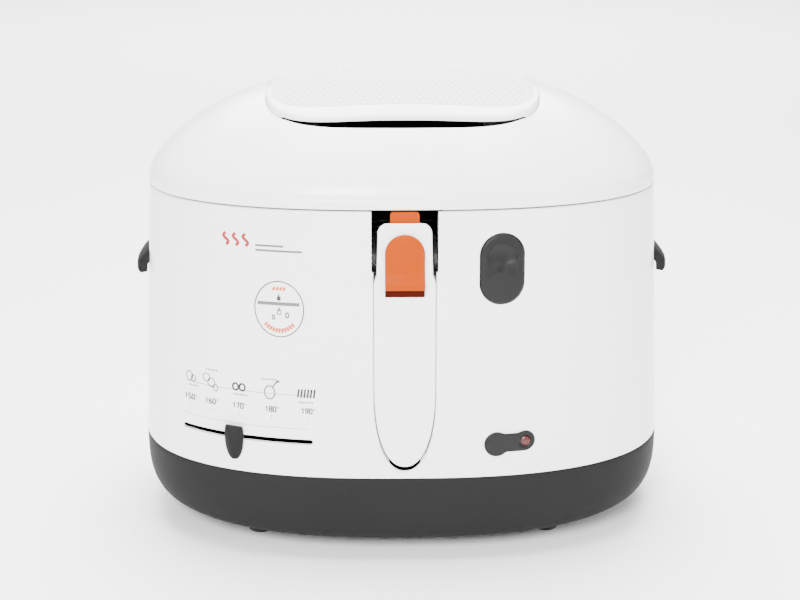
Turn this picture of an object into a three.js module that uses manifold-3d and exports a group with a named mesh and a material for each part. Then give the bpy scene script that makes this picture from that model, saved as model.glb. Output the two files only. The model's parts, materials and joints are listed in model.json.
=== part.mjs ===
// Oval cool-wall deep fryer of about two litres. Millimetres, +Z up, front towards -Y,
// with the origin on the floor under the middle of the body.
import * as THREE from 'three';
import { mergeVertices } from 'three/addons/utils/BufferGeometryUtils.js';
import Module from 'manifold-3d';

const wasm = await Module();
wasm.setup();

// ---- driving dimensions ------------------------------------------------------------
const GAP = 0.3; // air left between pieces that touch
const PLAY = 0.6; // air round a piece that slides or swings
const OVAL_STEPS = 48; // sides of an oval ring
const OVAL_POWER = 2.49; // 2 is an ellipse, more is squarer

const SKIRT_BOTTOM = 10.4; // underside of the base above the floor
const SEAM_Z = 57; // base to casing
const RIM_Z = 227.5; // casing to lid
const LOW_WIDTH = 176; // half width and half depth at the base seam
const LOW_DEPTH = 128;
const TOP_WIDTH = 168; // half width and half depth at the rim
const TOP_DEPTH = 122;
const CASING_WALL = 2.5;
const SKIRT_WALL = 3;
const SKIRT_INSET = 47.4; // how far the skirt rolls in at its sides
const SKIRT_INSET_RATIO = 0.555; // share of that at the front and back
const SKIRT_POWER = 3.54;

const COLLAR_WALL = 2.5;
const BOWL_RIM_Z = 183;
const BOWL_WIDTH = 140;
const BOWL_DEPTH = 94;
const COLLAR_WIDTH = BOWL_WIDTH + 10; // mouth of the inner collar, half sizes
const COLLAR_DEPTH = BOWL_DEPTH + 10;
const BOWL_FLANGE = 12;
const BOWL_FLOOR_Z = 97;
const BOWL_WALL = 1.5;
const BASKET_WIDTH = BOWL_WIDTH - 10;
const BASKET_DEPTH = BOWL_DEPTH - 6.1;
const BASKET_TOP_Z = 176;
const BASKET_FLOOR_Z = 100;
const BASKET_WALL = 1.6;

const FLANGE_HEIGHT = 6.96; // upright band round the bottom of the lid
const DOME_HEIGHT = 65;
const DOME_WALL = 3;
const DOME_RISE_POWER = 1.376;
const DOME_SHRINK_POWER = 2.367;
const CROWN_POWER = 2.15; // roundness of the outline at the crown
const COVER_WIDTH = 88; // filter cover, half sizes and middle
const COVER_DEPTH = 72;
const COVER_Y = -12;
const COVER_POWER = 4.3;
const COVER_PROUD = 1;
const STEAM_SLOT_WIDTH = 75.5; // half width of the steam slot
const STEAM_SLOT_DEPTH = 8; // front to back in the middle

const PIVOT_Z = 197.5;
const PIVOT_INSET = 6.4; // behind the casing's front
const SILL_DROP = 7.8; // sill of the notch below the pivot
const HANDLE_TOP = 221.2;
const HANDLE_TIP = 64.7;
const HANDLE_WIDTH = 19; // half width of the grip
const HANDLE_NECK = 17.25; // half width between the cheeks
const HANDLE_SHOULDER = 188; // where the neck starts
const HANDLE_TIP_LENGTH = 50;
const HANDLE_TIP_POWER = 2.2;
const HANDLE_CORNER = 6;
const HANDLE_PROUD = 0.8;
const HANDLE_BACK = 9.6;
const FINGER_GAP = 3.5;
const HEEL_LENGTH = 25;
const HEEL_RISE = 8;
const HEEL_WIDTH = 11; // half width
const PIN_RADIUS = 1.8;
const PIN_PLAY = 0.3;
const CHEEK = 2;
const NOTCH_WIDTH = HANDLE_NECK + PLAY + CHEEK + 0.55; // half width of the gap for the basket handle

const LOCK_WIDTH = 12.15; // half width of the orange lock button
const LOCK_TOP = 213.3;
const LOCK_BOTTOM = 174.5;
const LOCK_PLATE = 2.3;
const LOCK_TRAVEL = 6;
const TONGUE_WIDTH = 8.9;
const TONGUE_TOP = 226.4;
const TONGUE_BOTTOM = 186;
const TONGUE_INSET = 1.7;
const TONGUE_THICK = 1.9;

const BUTTON_X = 59.6; // lid release button
const BUTTON_Z = RIM_Z - 36.8;
const BUTTON_WIDTH = 27.2;
const BUTTON_HEIGHT = 44;
const BUTTON_BACK = 112;
const BUTTON_PROUD = 0.8;
const LEVER_PIVOT_Y = -108.5;
const LEVER_PIVOT_Z = RIM_Z - 23.5;

const SLOT_Z = 80; // temperature slot
const SLOT_LEFT = -142;
const SLOT_RIGHT = -57.4;
const SLOT_HEIGHT = 2.6;
const KNOB_X = -107.2;
const KNOB_WIDTH = 13;
const KNOB_BOTTOM = 65.2;
const KNOB_TOP = 87.5;

const LAMP_X = 75.6; // pilot light
const LAMP_Z = 79.4;
const LENS_RADIUS = 3.6;
const HINGE_Y = 125.35; // lid hinge
const HINGE_Z = RIM_Z - 3.5;
const HINGE_BARREL = 4.2;
const HINGE_PIN = 1.8;
const HINGE_LUG = 30; // half width of the lid's lug
const HINGE_EAR = 10;

const FOOT_X = 95;
const FOOT_Y = 72;
const FOOT_RADIUS = 9;
const TIE_RODS = [
  [BOWL_WIDTH + 8, 0], [-BOWL_WIDTH - 8, 0], [60, BOWL_DEPTH + 6], [-60, BOWL_DEPTH + 6],
];
const TIE_ROD_RADIUS = 2.5;

// ---- finishes ----------------------------------------------------------------------
const finish = (color, roughness, metalness) =>
  new THREE.MeshStandardMaterial({ color, roughness, metalness });
const WHITE = finish(0xf6f6f6, 0.35, 0);
const CHARCOAL = finish(0x4f5152, 0.5, 0);
const ORANGE = finish(0xfd792f, 0.4, 0);
const RED = finish(0x960a14, 0.15, 0);
const RUBBER = finish(0x2b2b2c, 0.85, 0);
const STEEL = finish(0xb8bbbd, 0.35, 1);
const ALUMINIUM = finish(0xc8cbce, 0.45, 1);
const COATING = finish(0x2a2a2b, 0.4, 0.1);
const MEDIA = finish(0x3c3c3a, 0.9, 0);
const BAKELITE = finish(0xd8d0bc, 0.6, 0);
const LEAD = finish(0xc94f3a, 0.6, 0);

// ---- solids ------------------------------------------------------------------------
// A manifold solid from a closed three.js geometry.
function solid(geometry) {
  const bare = geometry.clone();
  bare.deleteAttribute('normal');
  bare.deleteAttribute('uv');
  const merged = mergeVertices(bare, 1e-4);
  return new wasm.Manifold(new wasm.Mesh({
    numProp: 3,
    vertProperties: merged.attributes.position.array,
    triVerts: new Uint32Array(merged.index.array),
  }));
}

// A three.js geometry from a manifold solid.
function geometryOf(body) {
  const { vertProperties, triVerts } = body.getMesh();
  const geometry = new THREE.BufferGeometry();
  geometry.setAttribute('position', new THREE.BufferAttribute(vertProperties, 3));
  geometry.setIndex(new THREE.BufferAttribute(triVerts, 1));
  geometry.computeVertexNormals();
  return geometry;
}

const fryer = new THREE.Group();

function add(name, body, material) {
  const mesh = new THREE.Mesh(geometryOf(body), material);
  mesh.name = name;
  fryer.add(mesh);
}

const ring = (a, b, z, power = OVAL_POWER) => ({ a, b, z, power });

// A point of an oval ring: |x/a|^power + |y/b|^power = 1.
function ovalPoint({ a, b, z, power }, angle) {
  const c = Math.cos(angle);
  const s = Math.sin(angle);
  const x = a * Math.sign(c) * Math.abs(c) ** (2 / power);
  const y = b * Math.sign(s) * Math.abs(s) ** (2 / power);
  return [x, y, z];
}

// Oval rings joined in order. Flat caps close the first and last one, unless the
// profile closes on itself.
function oval(rings, closesOnItself = false) {
  const points = [];
  const faces = [];
  for (const r of rings) {
    for (let i = 0; i < OVAL_STEPS; i += 1) {
      points.push(...ovalPoint(r, (2 * Math.PI * i) / OVAL_STEPS));
    }
  }
  const bands = closesOnItself ? rings.length : rings.length - 1;
  for (let k = 0; k < bands; k += 1) {
    const low = k * OVAL_STEPS;
    const high = ((k + 1) % rings.length) * OVAL_STEPS;
    for (let i = 0; i < OVAL_STEPS; i += 1) {
      const j = (i + 1) % OVAL_STEPS;
      faces.push(low + i, low + j, high + j, low + i, high + j, high + i);
    }
  }
  if (!closesOnItself) {
    const first = points.length / 3;
    const last = first + 1;
    const top = (rings.length - 1) * OVAL_STEPS;
    points.push(0, 0, rings[0].z, 0, 0, rings[rings.length - 1].z);
    for (let i = 0; i < OVAL_STEPS; i += 1) {
      const j = (i + 1) % OVAL_STEPS;
      faces.push(first, j, i, last, top + i, top + j);
    }
  }
  const geometry = new THREE.BufferGeometry();
  geometry.setAttribute('position', new THREE.Float32BufferAttribute(points, 3));
  geometry.setIndex(faces);
  return solid(geometry);
}

function box(x0, x1, y0, y1, z0, z1) {
  const geometry = new THREE.BoxGeometry(x1 - x0, y1 - y0, z1 - z0);
  geometry.translate((x0 + x1) / 2, (y0 + y1) / 2, (z0 + z1) / 2);
  return solid(geometry);
}

// A round bar along one axis, from one coordinate on that axis to another.
function bar(axis, from, to, [u, v], radius, endRadius = radius, sides = 16) {
  const geometry = new THREE.CylinderGeometry(endRadius, radius, to - from, sides);
  const middle = (from + to) / 2;
  if (axis === 'x') {
    geometry.rotateZ(-Math.PI / 2).translate(middle, u, v);
  } else if (axis === 'y') {
    geometry.translate(u, middle, v);
  } else {
    geometry.rotateX(Math.PI / 2).translate(u, v, middle);
  }
  return solid(geometry);
}

function shapeOf(points) {
  return new THREE.Shape(points.map(([x, y]) => new THREE.Vector2(x, y)));
}

// An outline in x and y, raised from z0 to z1.
function upright(points, z0, z1) {
  const geometry = new THREE.ExtrudeGeometry(shapeOf(points), { depth: z1 - z0, bevelEnabled: false });
  return solid(geometry.translate(0, 0, z0));
}

// An outline in y and z, run from x0 to x1.
function crosswise(points, x0, x1) {
  const geometry = new THREE.ExtrudeGeometry(shapeOf(points), { depth: x1 - x0, bevelEnabled: false });
  geometry.applyMatrix4(new THREE.Matrix4().makeBasis(
    new THREE.Vector3(0, 1, 0), new THREE.Vector3(0, 0, 1), new THREE.Vector3(1, 0, 0),
  ));
  return solid(geometry.translate(x0, 0, 0));
}

// The casing leans back a little. Insets count from its front, so a shape in x and z
// between two insets leans with it.
const LEAN = (LOW_DEPTH - TOP_DEPTH) / (RIM_Z - SEAM_Z);
const frontY = (z, inset = 0) => inset - LOW_DEPTH + LEAN * (z - SEAM_Z);

function leaning(points, inset0, inset1) {
  const depth = inset1 - inset0;
  const geometry = new THREE.ExtrudeGeometry(shapeOf(points), { depth, bevelEnabled: false });
  geometry.rotateX(Math.PI / 2).translate(0, inset1, 0);
  const lean = new THREE.Matrix4().set(
    1, 0, 0, 0,
    0, 1, LEAN, frontY(0),
    0, 0, 1, 0,
    0, 0, 0, 1,
  );
  return solid(geometry.applyMatrix4(lean));
}

// A round wire or tube along a smooth line through the given points.
function tube(points, radius, steps, sides = 8) {
  const path = new THREE.CatmullRomCurve3(points.map((p) => new THREE.Vector3(...p)));
  const section = new THREE.Shape();
  for (let i = 0; i < sides; i += 1) {
    const angle = (2 * Math.PI * i) / sides;
    const x = radius * Math.cos(angle);
    const y = radius * Math.sin(angle);
    if (i === 0) section.moveTo(x, y);
    else section.lineTo(x, y);
  }
  section.closePath();
  return solid(new THREE.ExtrudeGeometry(section, { steps, extrudePath: path, bevelEnabled: false }));
}

// A coil spring along y or z between two ends.
function spring(axis, from, to, [u, v], radius, wire, turns) {
  const points = [];
  const perTurn = 8;
  for (let i = 0; i <= turns * perTurn; i += 1) {
    const angle = (2 * Math.PI * i) / perTurn;
    const along = from + wire + ((to - from - 2 * wire) * i) / (turns * perTurn);
    const c = radius * Math.cos(angle);
    const s = radius * Math.sin(angle);
    points.push(axis === 'y' ? [u + c, along, v + s] : [u + c, v + s, along]);
  }
  return tube(points, wire, turns * perTurn, 5);
}

const rectangle = (halfWidth, z0, z1, x = 0) =>
  [[x - halfWidth, z0], [x + halfWidth, z0], [x + halfWidth, z1], [x - halfWidth, z1]];

const mix = THREE.MathUtils.lerp;

// The casing's outline at a height, drawn in by an inset.
function bodyRing(z, inset = 0) {
  const t = (z - SEAM_Z) / (RIM_Z - SEAM_Z);
  return ring(mix(LOW_WIDTH, TOP_WIDTH, t) - inset, mix(LOW_DEPTH, TOP_DEPTH, t) - inset, z);
}

const bodySolid = (grow) => oval([bodyRing(SEAM_Z - 8, -grow), bodyRing(RIM_Z + 8, -grow)]);

// Depth of the casing's front at a place across it.
function outlineY(x, z, inset = 0) {
  const { a, b } = bodyRing(z, inset);
  return -b * (1 - Math.abs(x / a) ** OVAL_POWER) ** (1 / OVAL_POWER);
}

// ---- base --------------------------------------------------------------------------
// v is 0 at the seam and 1 at the underside.
function skirtRing(v, inset) {
  const roll = SKIRT_INSET * (1 - (1 - v ** SKIRT_POWER) ** (1 / SKIRT_POWER));
  const bottom = SKIRT_BOTTOM + inset;
  return ring(
    LOW_WIDTH - inset - roll,
    LOW_DEPTH - inset - roll * SKIRT_INSET_RATIO,
    mix(SEAM_Z - GAP, bottom, v),
  );
}

const SKIRT_ROWS = [1, 0.97, 0.88, 0.74, 0.5, 0];
const footCentres = [[-FOOT_X, -FOOT_Y], [FOOT_X, -FOOT_Y], [-FOOT_X, FOOT_Y], [FOOT_X, FOOT_Y]];
const SCREW_RADIUS = 1.8;
const SCREW_HEAD = 3.8;
const GLAND_RADIUS = 7;
const GLAND_Z = 34;

let base = oval([
  ...SKIRT_ROWS.map((v) => skirtRing(v, 0)),
  ...[...SKIRT_ROWS].reverse().map((v) => skirtRing(v, SKIRT_WALL)),
]);
for (const centre of footCentres) {
  base = base.subtract(bar('z', 0, 20, centre, SCREW_RADIUS + GAP, SCREW_RADIUS + GAP, 12));
}
base = base.subtract(bar('y', LOW_DEPTH - 12, LOW_DEPTH + 5, [0, GLAND_Z], GLAND_RADIUS + GAP));
add('base_skirt', base, CHARCOAL);

footCentres.forEach((centre, i) => {
  const foot = bar('z', 0, SKIRT_BOTTOM - GAP, centre, FOOT_RADIUS - 1, FOOT_RADIUS, 20)
    .subtract(bar('z', -1, 5, centre, SCREW_HEAD + GAP, SCREW_HEAD + GAP, 12))
    .subtract(bar('z', 4, 20, centre, SCREW_RADIUS + GAP, SCREW_RADIUS + GAP, 12));
  add(`foot_${i + 1}`, foot, RUBBER);
  const screw = bar('z', 2.4, 5 - GAP, centre, SCREW_HEAD, SCREW_HEAD, 12)
    .add(bar('z', 4, 19, centre, SCREW_RADIUS, SCREW_RADIUS, 12));
  add(`foot_screw_${i + 1}`, screw, STEEL);
});

const gland = bar('y', LOW_DEPTH - 12, LOW_DEPTH + 1.3, [0, GLAND_Z], GLAND_RADIUS)
  .add(bar('y', LOW_DEPTH - 12, LOW_DEPTH - 8.5, [0, GLAND_Z], GLAND_RADIUS + 2))
  .subtract(bar('y', LOW_DEPTH - 20, LOW_DEPTH + 20, [0, GLAND_Z], GLAND_RADIUS / 2));
add('cord_gland', gland, RUBBER);

// ---- casing ------------------------------------------------------------------------
const SILL_Z = PIVOT_Z - SILL_DROP;
const CHANNEL_FLOOR = HANDLE_BACK + PLAY;
const FRAME_BACK = COLLAR_DEPTH + COLLAR_WALL + GAP;

// Lower end of the handle: a squarish half ellipse from one side to the other.
function tipOutline(halfWidth, tipZ, length) {
  const points = [];
  const steps = 14;
  for (let i = 0; i <= steps; i += 1) {
    const angle = Math.PI + (Math.PI * i) / steps;
    const c = Math.cos(angle);
    const s = Math.sin(angle);
    const x = halfWidth * Math.sign(c) * Math.abs(c) ** (2 / HANDLE_TIP_POWER);
    points.push([x, tipZ + length - length * Math.abs(s) ** (2 / HANDLE_TIP_POWER)]);
  }
  return points;
}

function channelOutline(grow) {
  const width = Math.max(HANDLE_WIDTH, HANDLE_NECK) + PLAY + grow;
  const length = HANDLE_TIP_LENGTH + grow;
  return [...tipOutline(width, HANDLE_TIP - FINGER_GAP - grow, length), [width, SILL_Z], [-width, SILL_Z]];
}

// A rounded upright slot shape for the release button.
function stadium(width, height, x, z) {
  const points = [];
  const radius = width / 2;
  const straight = height / 2 - radius;
  const steps = 8;
  for (let half = 0; half < 2; half += 1) {
    for (let i = 0; i <= steps; i += 1) {
      const angle = Math.PI * half + (Math.PI * i) / steps;
      const lift = half === 0 ? straight : -straight;
      points.push([x + radius * Math.cos(angle), z + lift + radius * Math.sin(angle)]);
    }
  }
  return points;
}

const notchCut = box(-NOTCH_WIDTH, NOTCH_WIDTH, -LOW_DEPTH - 20, -FRAME_BACK + 8, SILL_Z, RIM_Z + 20);
const bezelLobes = [[57.6, 78.4, 7.9], [LAMP_X, LAMP_Z + 0.3, 6.6]];

function bezelSolid(grow, from, to) {
  const discs = bezelLobes.map(([x, z, radius]) => bar('y', from, to, [x, z], radius + grow, radius + grow, 20));
  const [left, right] = bezelLobes;
  return discs[0].add(discs[1]).add(box(left[0], right[0], from, to, left[1] - 5 - grow, right[1] + 5 + grow));
}

function hingeBarrel(x0, x1, radius) {
  return bar('x', x0, x1, [HINGE_Y, HINGE_Z], radius, radius, 20);
}

let casing = oval([
  bodyRing(SEAM_Z), bodyRing(RIM_Z - 0.7),
  bodyRing(RIM_Z - 0.7, CASING_WALL), bodyRing(SEAM_Z, CASING_WALL),
], true);
const channelWall = leaning(channelOutline(CASING_WALL), 0, CHANNEL_FLOOR + CASING_WALL);
const notchFrame = box(
  -NOTCH_WIDTH - CASING_WALL, NOTCH_WIDTH + CASING_WALL,
  -LOW_DEPTH, -FRAME_BACK, SILL_Z - CASING_WALL, RIM_Z - 0.7,
);
const ears = [-1, 1].map((side) => {
  const inner = HINGE_LUG + PLAY;
  const x0 = side < 0 ? -inner - HINGE_EAR : inner;
  const x1 = x0 + HINGE_EAR;
  const web = box(x0, x1, TOP_DEPTH - 5, HINGE_Y + 2, HINGE_Z - 14, HINGE_Z);
  return hingeBarrel(x0, x1, HINGE_BARREL).add(web)
    .subtract(hingeBarrel(x0 - 1, x1 + 1, HINGE_PIN + PIN_PLAY))
    .subtract(oval([bodyRing(SEAM_Z, CASING_WALL), bodyRing(RIM_Z, CASING_WALL)]));
});
casing = casing
  .add(channelWall.intersect(bodySolid(-0.05)))
  .add(notchFrame.intersect(bodySolid(-0.05)))
  .subtract(leaning(channelOutline(0), -10, CHANNEL_FLOOR))
  .subtract(notchCut)
  .subtract(leaning(stadium(BUTTON_WIDTH + PLAY, BUTTON_HEIGHT + PLAY, BUTTON_X, BUTTON_Z), -5, 25))
  .subtract(box(SLOT_LEFT, SLOT_RIGHT, -LOW_DEPTH - 5, -75, SLOT_Z - SLOT_HEIGHT / 2, SLOT_Z + SLOT_HEIGHT / 2))
  .subtract(bezelSolid(GAP, -LOW_DEPTH - 5, -100))
  .subtract(hingeBarrel(-HINGE_LUG - PLAY, HINGE_LUG + PLAY, HINGE_BARREL + PLAY));
for (const ear of ears) casing = casing.add(ear);
add('outer_casing', casing, WHITE);

// Side grips: ledges with a hollow underneath for the fingers.
const GRIP_OUT = 7.8;
const GRIP_BOTTOM = 164;
const GRIP_TOP = 187;
const GRIP_HALF_LENGTH = 36;
const gripLedge = oval([
  bodyRing(GRIP_BOTTOM, -0.5), bodyRing(GRIP_BOTTOM + 2.5, -GRIP_OUT),
  bodyRing(GRIP_TOP - 6, -GRIP_OUT + 0.4), bodyRing(GRIP_TOP, -0.5),
]);
const gripHollow = oval([
  bodyRing(GRIP_BOTTOM - 5, -GRIP_OUT + 2), bodyRing(GRIP_TOP - 8, -GRIP_OUT + 2.4),
]);
for (const side of [-1, 1]) {
  const half = (length, z0, z1) => {
    const [x0, x1] = side < 0 ? [-200, -100] : [100, 200];
    return box(x0, x1, -length, length, z0, z1);
  };
  const grip = gripLedge.intersect(half(GRIP_HALF_LENGTH, 0, 300))
    .subtract(gripHollow.intersect(half(GRIP_HALF_LENGTH - 4, 0, 300)))
    .subtract(bodySolid(GAP));
  add(side < 0 ? 'side_grip_left' : 'side_grip_right', grip, CHARCOAL);
}

// ---- collar, bowl and what heats it ------------------------------------------------
const catchCut = box(BUTTON_X - 6.6, BUTTON_X + 6.4, -107.2, -102.4, RIM_Z - 10, RIM_Z + 10);
const collarRing = (grow, z) => ring(COLLAR_WIDTH + grow, COLLAR_DEPTH + grow, z);
const collar = oval([
  collarRing(0, BOWL_RIM_Z + GAP), collarRing(COLLAR_WALL, BOWL_RIM_Z + GAP),
  collarRing(COLLAR_WALL, RIM_Z - 3.5), bodyRing(RIM_Z - 3.5, CASING_WALL + GAP),
  bodyRing(RIM_Z - 0.7, CASING_WALL + GAP), collarRing(0, RIM_Z - 0.7),
], true)
  .subtract(box(-NOTCH_WIDTH, NOTCH_WIDTH, -LOW_DEPTH, -60, SILL_Z, RIM_Z + 5))
  .subtract(box(
    -NOTCH_WIDTH - CASING_WALL - GAP, NOTCH_WIDTH + CASING_WALL + GAP,
    -LOW_DEPTH, -FRAME_BACK + GAP / 2, SILL_Z, RIM_Z + 5,
  ))
  .subtract(catchCut);
add('inner_collar', collar, WHITE);

const bowlRing = (drawIn, z) => ring(BOWL_WIDTH - drawIn, BOWL_DEPTH - drawIn, z, 2.6);
const bowl = oval([
  bowlRing(22, BOWL_FLOOR_Z - BOWL_WALL), bowlRing(13, BOWL_FLOOR_Z),
  bowlRing(3 - BOWL_WALL, BOWL_FLOOR_Z + 14), bowlRing(-BOWL_WALL, BOWL_RIM_Z - BOWL_WALL),
  bowlRing(-BOWL_FLANGE, BOWL_RIM_Z - BOWL_WALL), bowlRing(-BOWL_FLANGE, BOWL_RIM_Z),
  bowlRing(0, BOWL_RIM_Z), bowlRing(3, BOWL_FLOOR_Z + 15),
  bowlRing(14, BOWL_FLOOR_Z + 1.5), bowlRing(22, BOWL_FLOOR_Z),
]);
add('bowl', bowl, COATING);

TIE_RODS.forEach(([x, y], i) => {
  const rod = bar('z', SKIRT_BOTTOM + 5.5, BOWL_RIM_Z - BOWL_WALL - GAP, [x, y], TIE_ROD_RADIUS, TIE_ROD_RADIUS, 12);
  add(`tie_rod_${i + 1}`, rod, STEEL);
});

const PLATE_TOP = BOWL_FLOOR_Z - BOWL_WALL - GAP;
const ELEMENT_RADIUS = 3.4;
const ELEMENT_Z = PLATE_TOP - 2 - GAP - ELEMENT_RADIUS;
add('heat_plate', oval([ring(100, 62, PLATE_TOP - 2), ring(100, 62, PLATE_TOP)]), ALUMINIUM);
const elementPath = [];
for (let i = 0; i <= 20; i += 1) {
  const angle = THREE.MathUtils.degToRad(20 + 16 * i);
  elementPath.push([86 * Math.cos(angle), 48 * Math.sin(angle), ELEMENT_Z]);
}
add('heating_element', tube(elementPath, ELEMENT_RADIUS, 36), STEEL);
add('thermal_fuse', box(36, 54, 4, 14, PLATE_TOP - 2 - GAP - 6, PLATE_TOP - 2 - GAP), BAKELITE);

// ---- temperature control -----------------------------------------------------------
// The knob swings about the middle of the circle through three points of the slot.
function circleThrough([ax, ay], [bx, by], [cx, cy]) {
  const d = 2 * (ax * (by - cy) + bx * (cy - ay) + cx * (ay - by));
  const a2 = ax * ax + ay * ay;
  const b2 = bx * bx + by * by;
  const c2 = cx * cx + cy * cy;
  return [
    (a2 * (by - cy) + b2 * (cy - ay) + c2 * (ay - by)) / d,
    (a2 * (cx - bx) + b2 * (ax - cx) + c2 * (bx - ax)) / d,
  ];
}
const slotPoint = (x) => [x, outlineY(x, SLOT_Z)];
const spindle = circleThrough(slotPoint(SLOT_LEFT), slotPoint(KNOB_X), slotPoint(SLOT_RIGHT));
const knobAngle = Math.atan2(outlineY(KNOB_X, SLOT_Z) - spindle[1], KNOB_X - spindle[0]);
const slotRadius = Math.hypot(KNOB_X - spindle[0], outlineY(KNOB_X, SLOT_Z) - spindle[1]);

// Turns a piece drawn along +x from the spindle to where the knob stands at rest.
function atKnob(body) {
  const geometry = geometryOf(body).rotateZ(knobAngle).translate(spindle[0], spindle[1], 0);
  return solid(geometry);
}
const KNOB_AIR = 1.28 + ((LOW_DEPTH - TOP_DEPTH) / (RIM_Z - SEAM_Z)) * (SLOT_Z - KNOB_BOTTOM);
const LEVER_THICK = 2;
const thermostatTop = SLOT_Z - 8;
const knobFace = slotRadius + KNOB_AIR;
const knob = upright([
  [knobFace, -KNOB_WIDTH / 2], [knobFace + 2.5, -KNOB_WIDTH / 2], [knobFace + 6, -2.5],
  [knobFace + 6, 2.5], [knobFace + 2.5, KNOB_WIDTH / 2], [knobFace, KNOB_WIDTH / 2],
], KNOB_BOTTOM, KNOB_TOP);
add('temperature_knob', atKnob(knob), CHARCOAL);
const lever = box(-6, knobFace - GAP, -5, 5, SLOT_Z - LEVER_THICK / 2, SLOT_Z + LEVER_THICK / 2)
  .subtract(bar('z', 0, 200, [0, 0], 3 + GAP));
add('temperature_lever', atKnob(lever), STEEL);
add('thermostat_spindle', bar('z', thermostatTop + GAP, SLOT_Z + 3.4, spindle, 3), STEEL);
add('thermostat', box(
  spindle[0] - 16, spindle[0] + 16, spindle[1] - 14, spindle[1] + 14, thermostatTop - 18, thermostatTop,
), BAKELITE);
add('thermostat_bracket', box(
  spindle[0] - 15, spindle[0] + 15, spindle[1] - 1.5, spindle[1] + 1.5,
  SKIRT_BOTTOM + SKIRT_WALL + GAP, thermostatTop - 18 - GAP,
), STEEL);

// ---- pilot light, terminals and leads ----------------------------------------------
const bezel = bezelSolid(0, -LOW_DEPTH - 5, -108)
  .intersect(bodySolid(1.4))
  .subtract(bar('y', -LOW_DEPTH - 9, -90, [LAMP_X, LAMP_Z], LENS_RADIUS + GAP));
add('lamp_bezel', bezel, CHARCOAL);
const lensFront = outlineY(LAMP_X, LAMP_Z) - 1;
add('lamp_lens', bar('y', lensFront, lensFront + 9, [LAMP_X, LAMP_Z], LENS_RADIUS), RED);
add('indicator_lamp', bar('y', lensFront + 9 + GAP, lensFront + 27, [LAMP_X, LAMP_Z], 2.6, 2.6, 12), BAKELITE);
add('terminal_block', box(20, 56, 62, 78, SKIRT_BOTTOM + SKIRT_WALL + GAP, 30), BAKELITE);

const sx = spindle[0];
const sy = spindle[1];
add('lead_live', tube([
  [22, 70, 31.8], [10, 68, 40], [-4, 62, 45], [-16, 56, 53], [sx + 14, sy + 17, 62],
], 1.5, 14, 6), LEAD);
add('lead_neutral', tube([
  [52, 70, 31.8], [62, 60, 42], [66, 40, 60], [58, 20, 76], [56, 9, 86],
], 1.5, 14, 6), LEAD);
add('sensor_tube', tube([
  [sx + 18, sy, 66], [sx + 26, sy - 4, 70], [sx + 34, sy - 10, 80], [sx + 46, sy - 14, 89],
  [sx + 70, sy - 16, 90.2],
], 1.2, 14, 6), ALUMINIUM);

// ---- basket and its bracket --------------------------------------------------------
const basketRing = (drawIn, z) => ring(BASKET_WIDTH - drawIn, BASKET_DEPTH - drawIn, z, 2.6);
const basket = oval([
  basketRing(20, BASKET_FLOOR_Z), basketRing(12, BASKET_FLOOR_Z + 1.5),
  basketRing(5, BASKET_FLOOR_Z + 9), basketRing(0, BASKET_TOP_Z),
  basketRing(BASKET_WALL, BASKET_TOP_Z), basketRing(5 + BASKET_WALL, BASKET_FLOOR_Z + 9),
  basketRing(13, BASKET_FLOOR_Z + 3.2), basketRing(20, BASKET_FLOOR_Z + BASKET_WALL),
]);
add('basket', basket, STEEL);

const PIVOT_Y = frontY(PIVOT_Z, PIVOT_INSET);
const CHEEK_IN = HANDLE_NECK + PLAY;
const CHEEK_OUT = CHEEK_IN + CHEEK;
const PLATE_BACK = -BASKET_DEPTH - GAP;
const PLATE_FRONT = PLATE_BACK - 1.8;
const CHEEK_BOTTOM = SILL_Z + 0.5;
const CHEEK_TOP = PIVOT_Z + 7.5;
const cheekOutline = [
  [PLATE_FRONT, CHEEK_BOTTOM], [PLATE_FRONT, CHEEK_TOP], [PIVOT_Y, CHEEK_TOP - 2],
  [PIVOT_Y - 4, PIVOT_Z + 3], [PIVOT_Y - 4.6, PIVOT_Z], [PIVOT_Y - 4, PIVOT_Z - 3],
  [PIVOT_Y - 1, CHEEK_BOTTOM],
];
let bracket = box(-CHEEK_OUT, CHEEK_OUT, PLATE_FRONT, PLATE_BACK, BASKET_TOP_Z - 24, CHEEK_TOP);
for (const x0 of [-CHEEK_OUT, CHEEK_IN]) {
  bracket = bracket.add(crosswise([...cheekOutline].reverse(), x0, x0 + CHEEK));
}
const pinAxis = [PIVOT_Y, PIVOT_Z];
// An open notch in the plate takes the lock's tongue when the handle is unfolded.
bracket = bracket
  .subtract(bar('x', -30, 30, pinAxis, PIN_RADIUS + PIN_PLAY, PIN_RADIUS + PIN_PLAY, 12))
  .subtract(box(
    -TONGUE_WIDTH - 0.6, TONGUE_WIDTH + 0.6, PLATE_FRONT - 1, PLATE_BACK + 1, PIVOT_Z + 1, CHEEK_TOP + 1,
  ));
add('basket_bracket', bracket, STEEL);
add('handle_pin', bar('x', -CHEEK_OUT, CHEEK_OUT, pinAxis, PIN_RADIUS, PIN_RADIUS, 12), STEEL);

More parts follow.
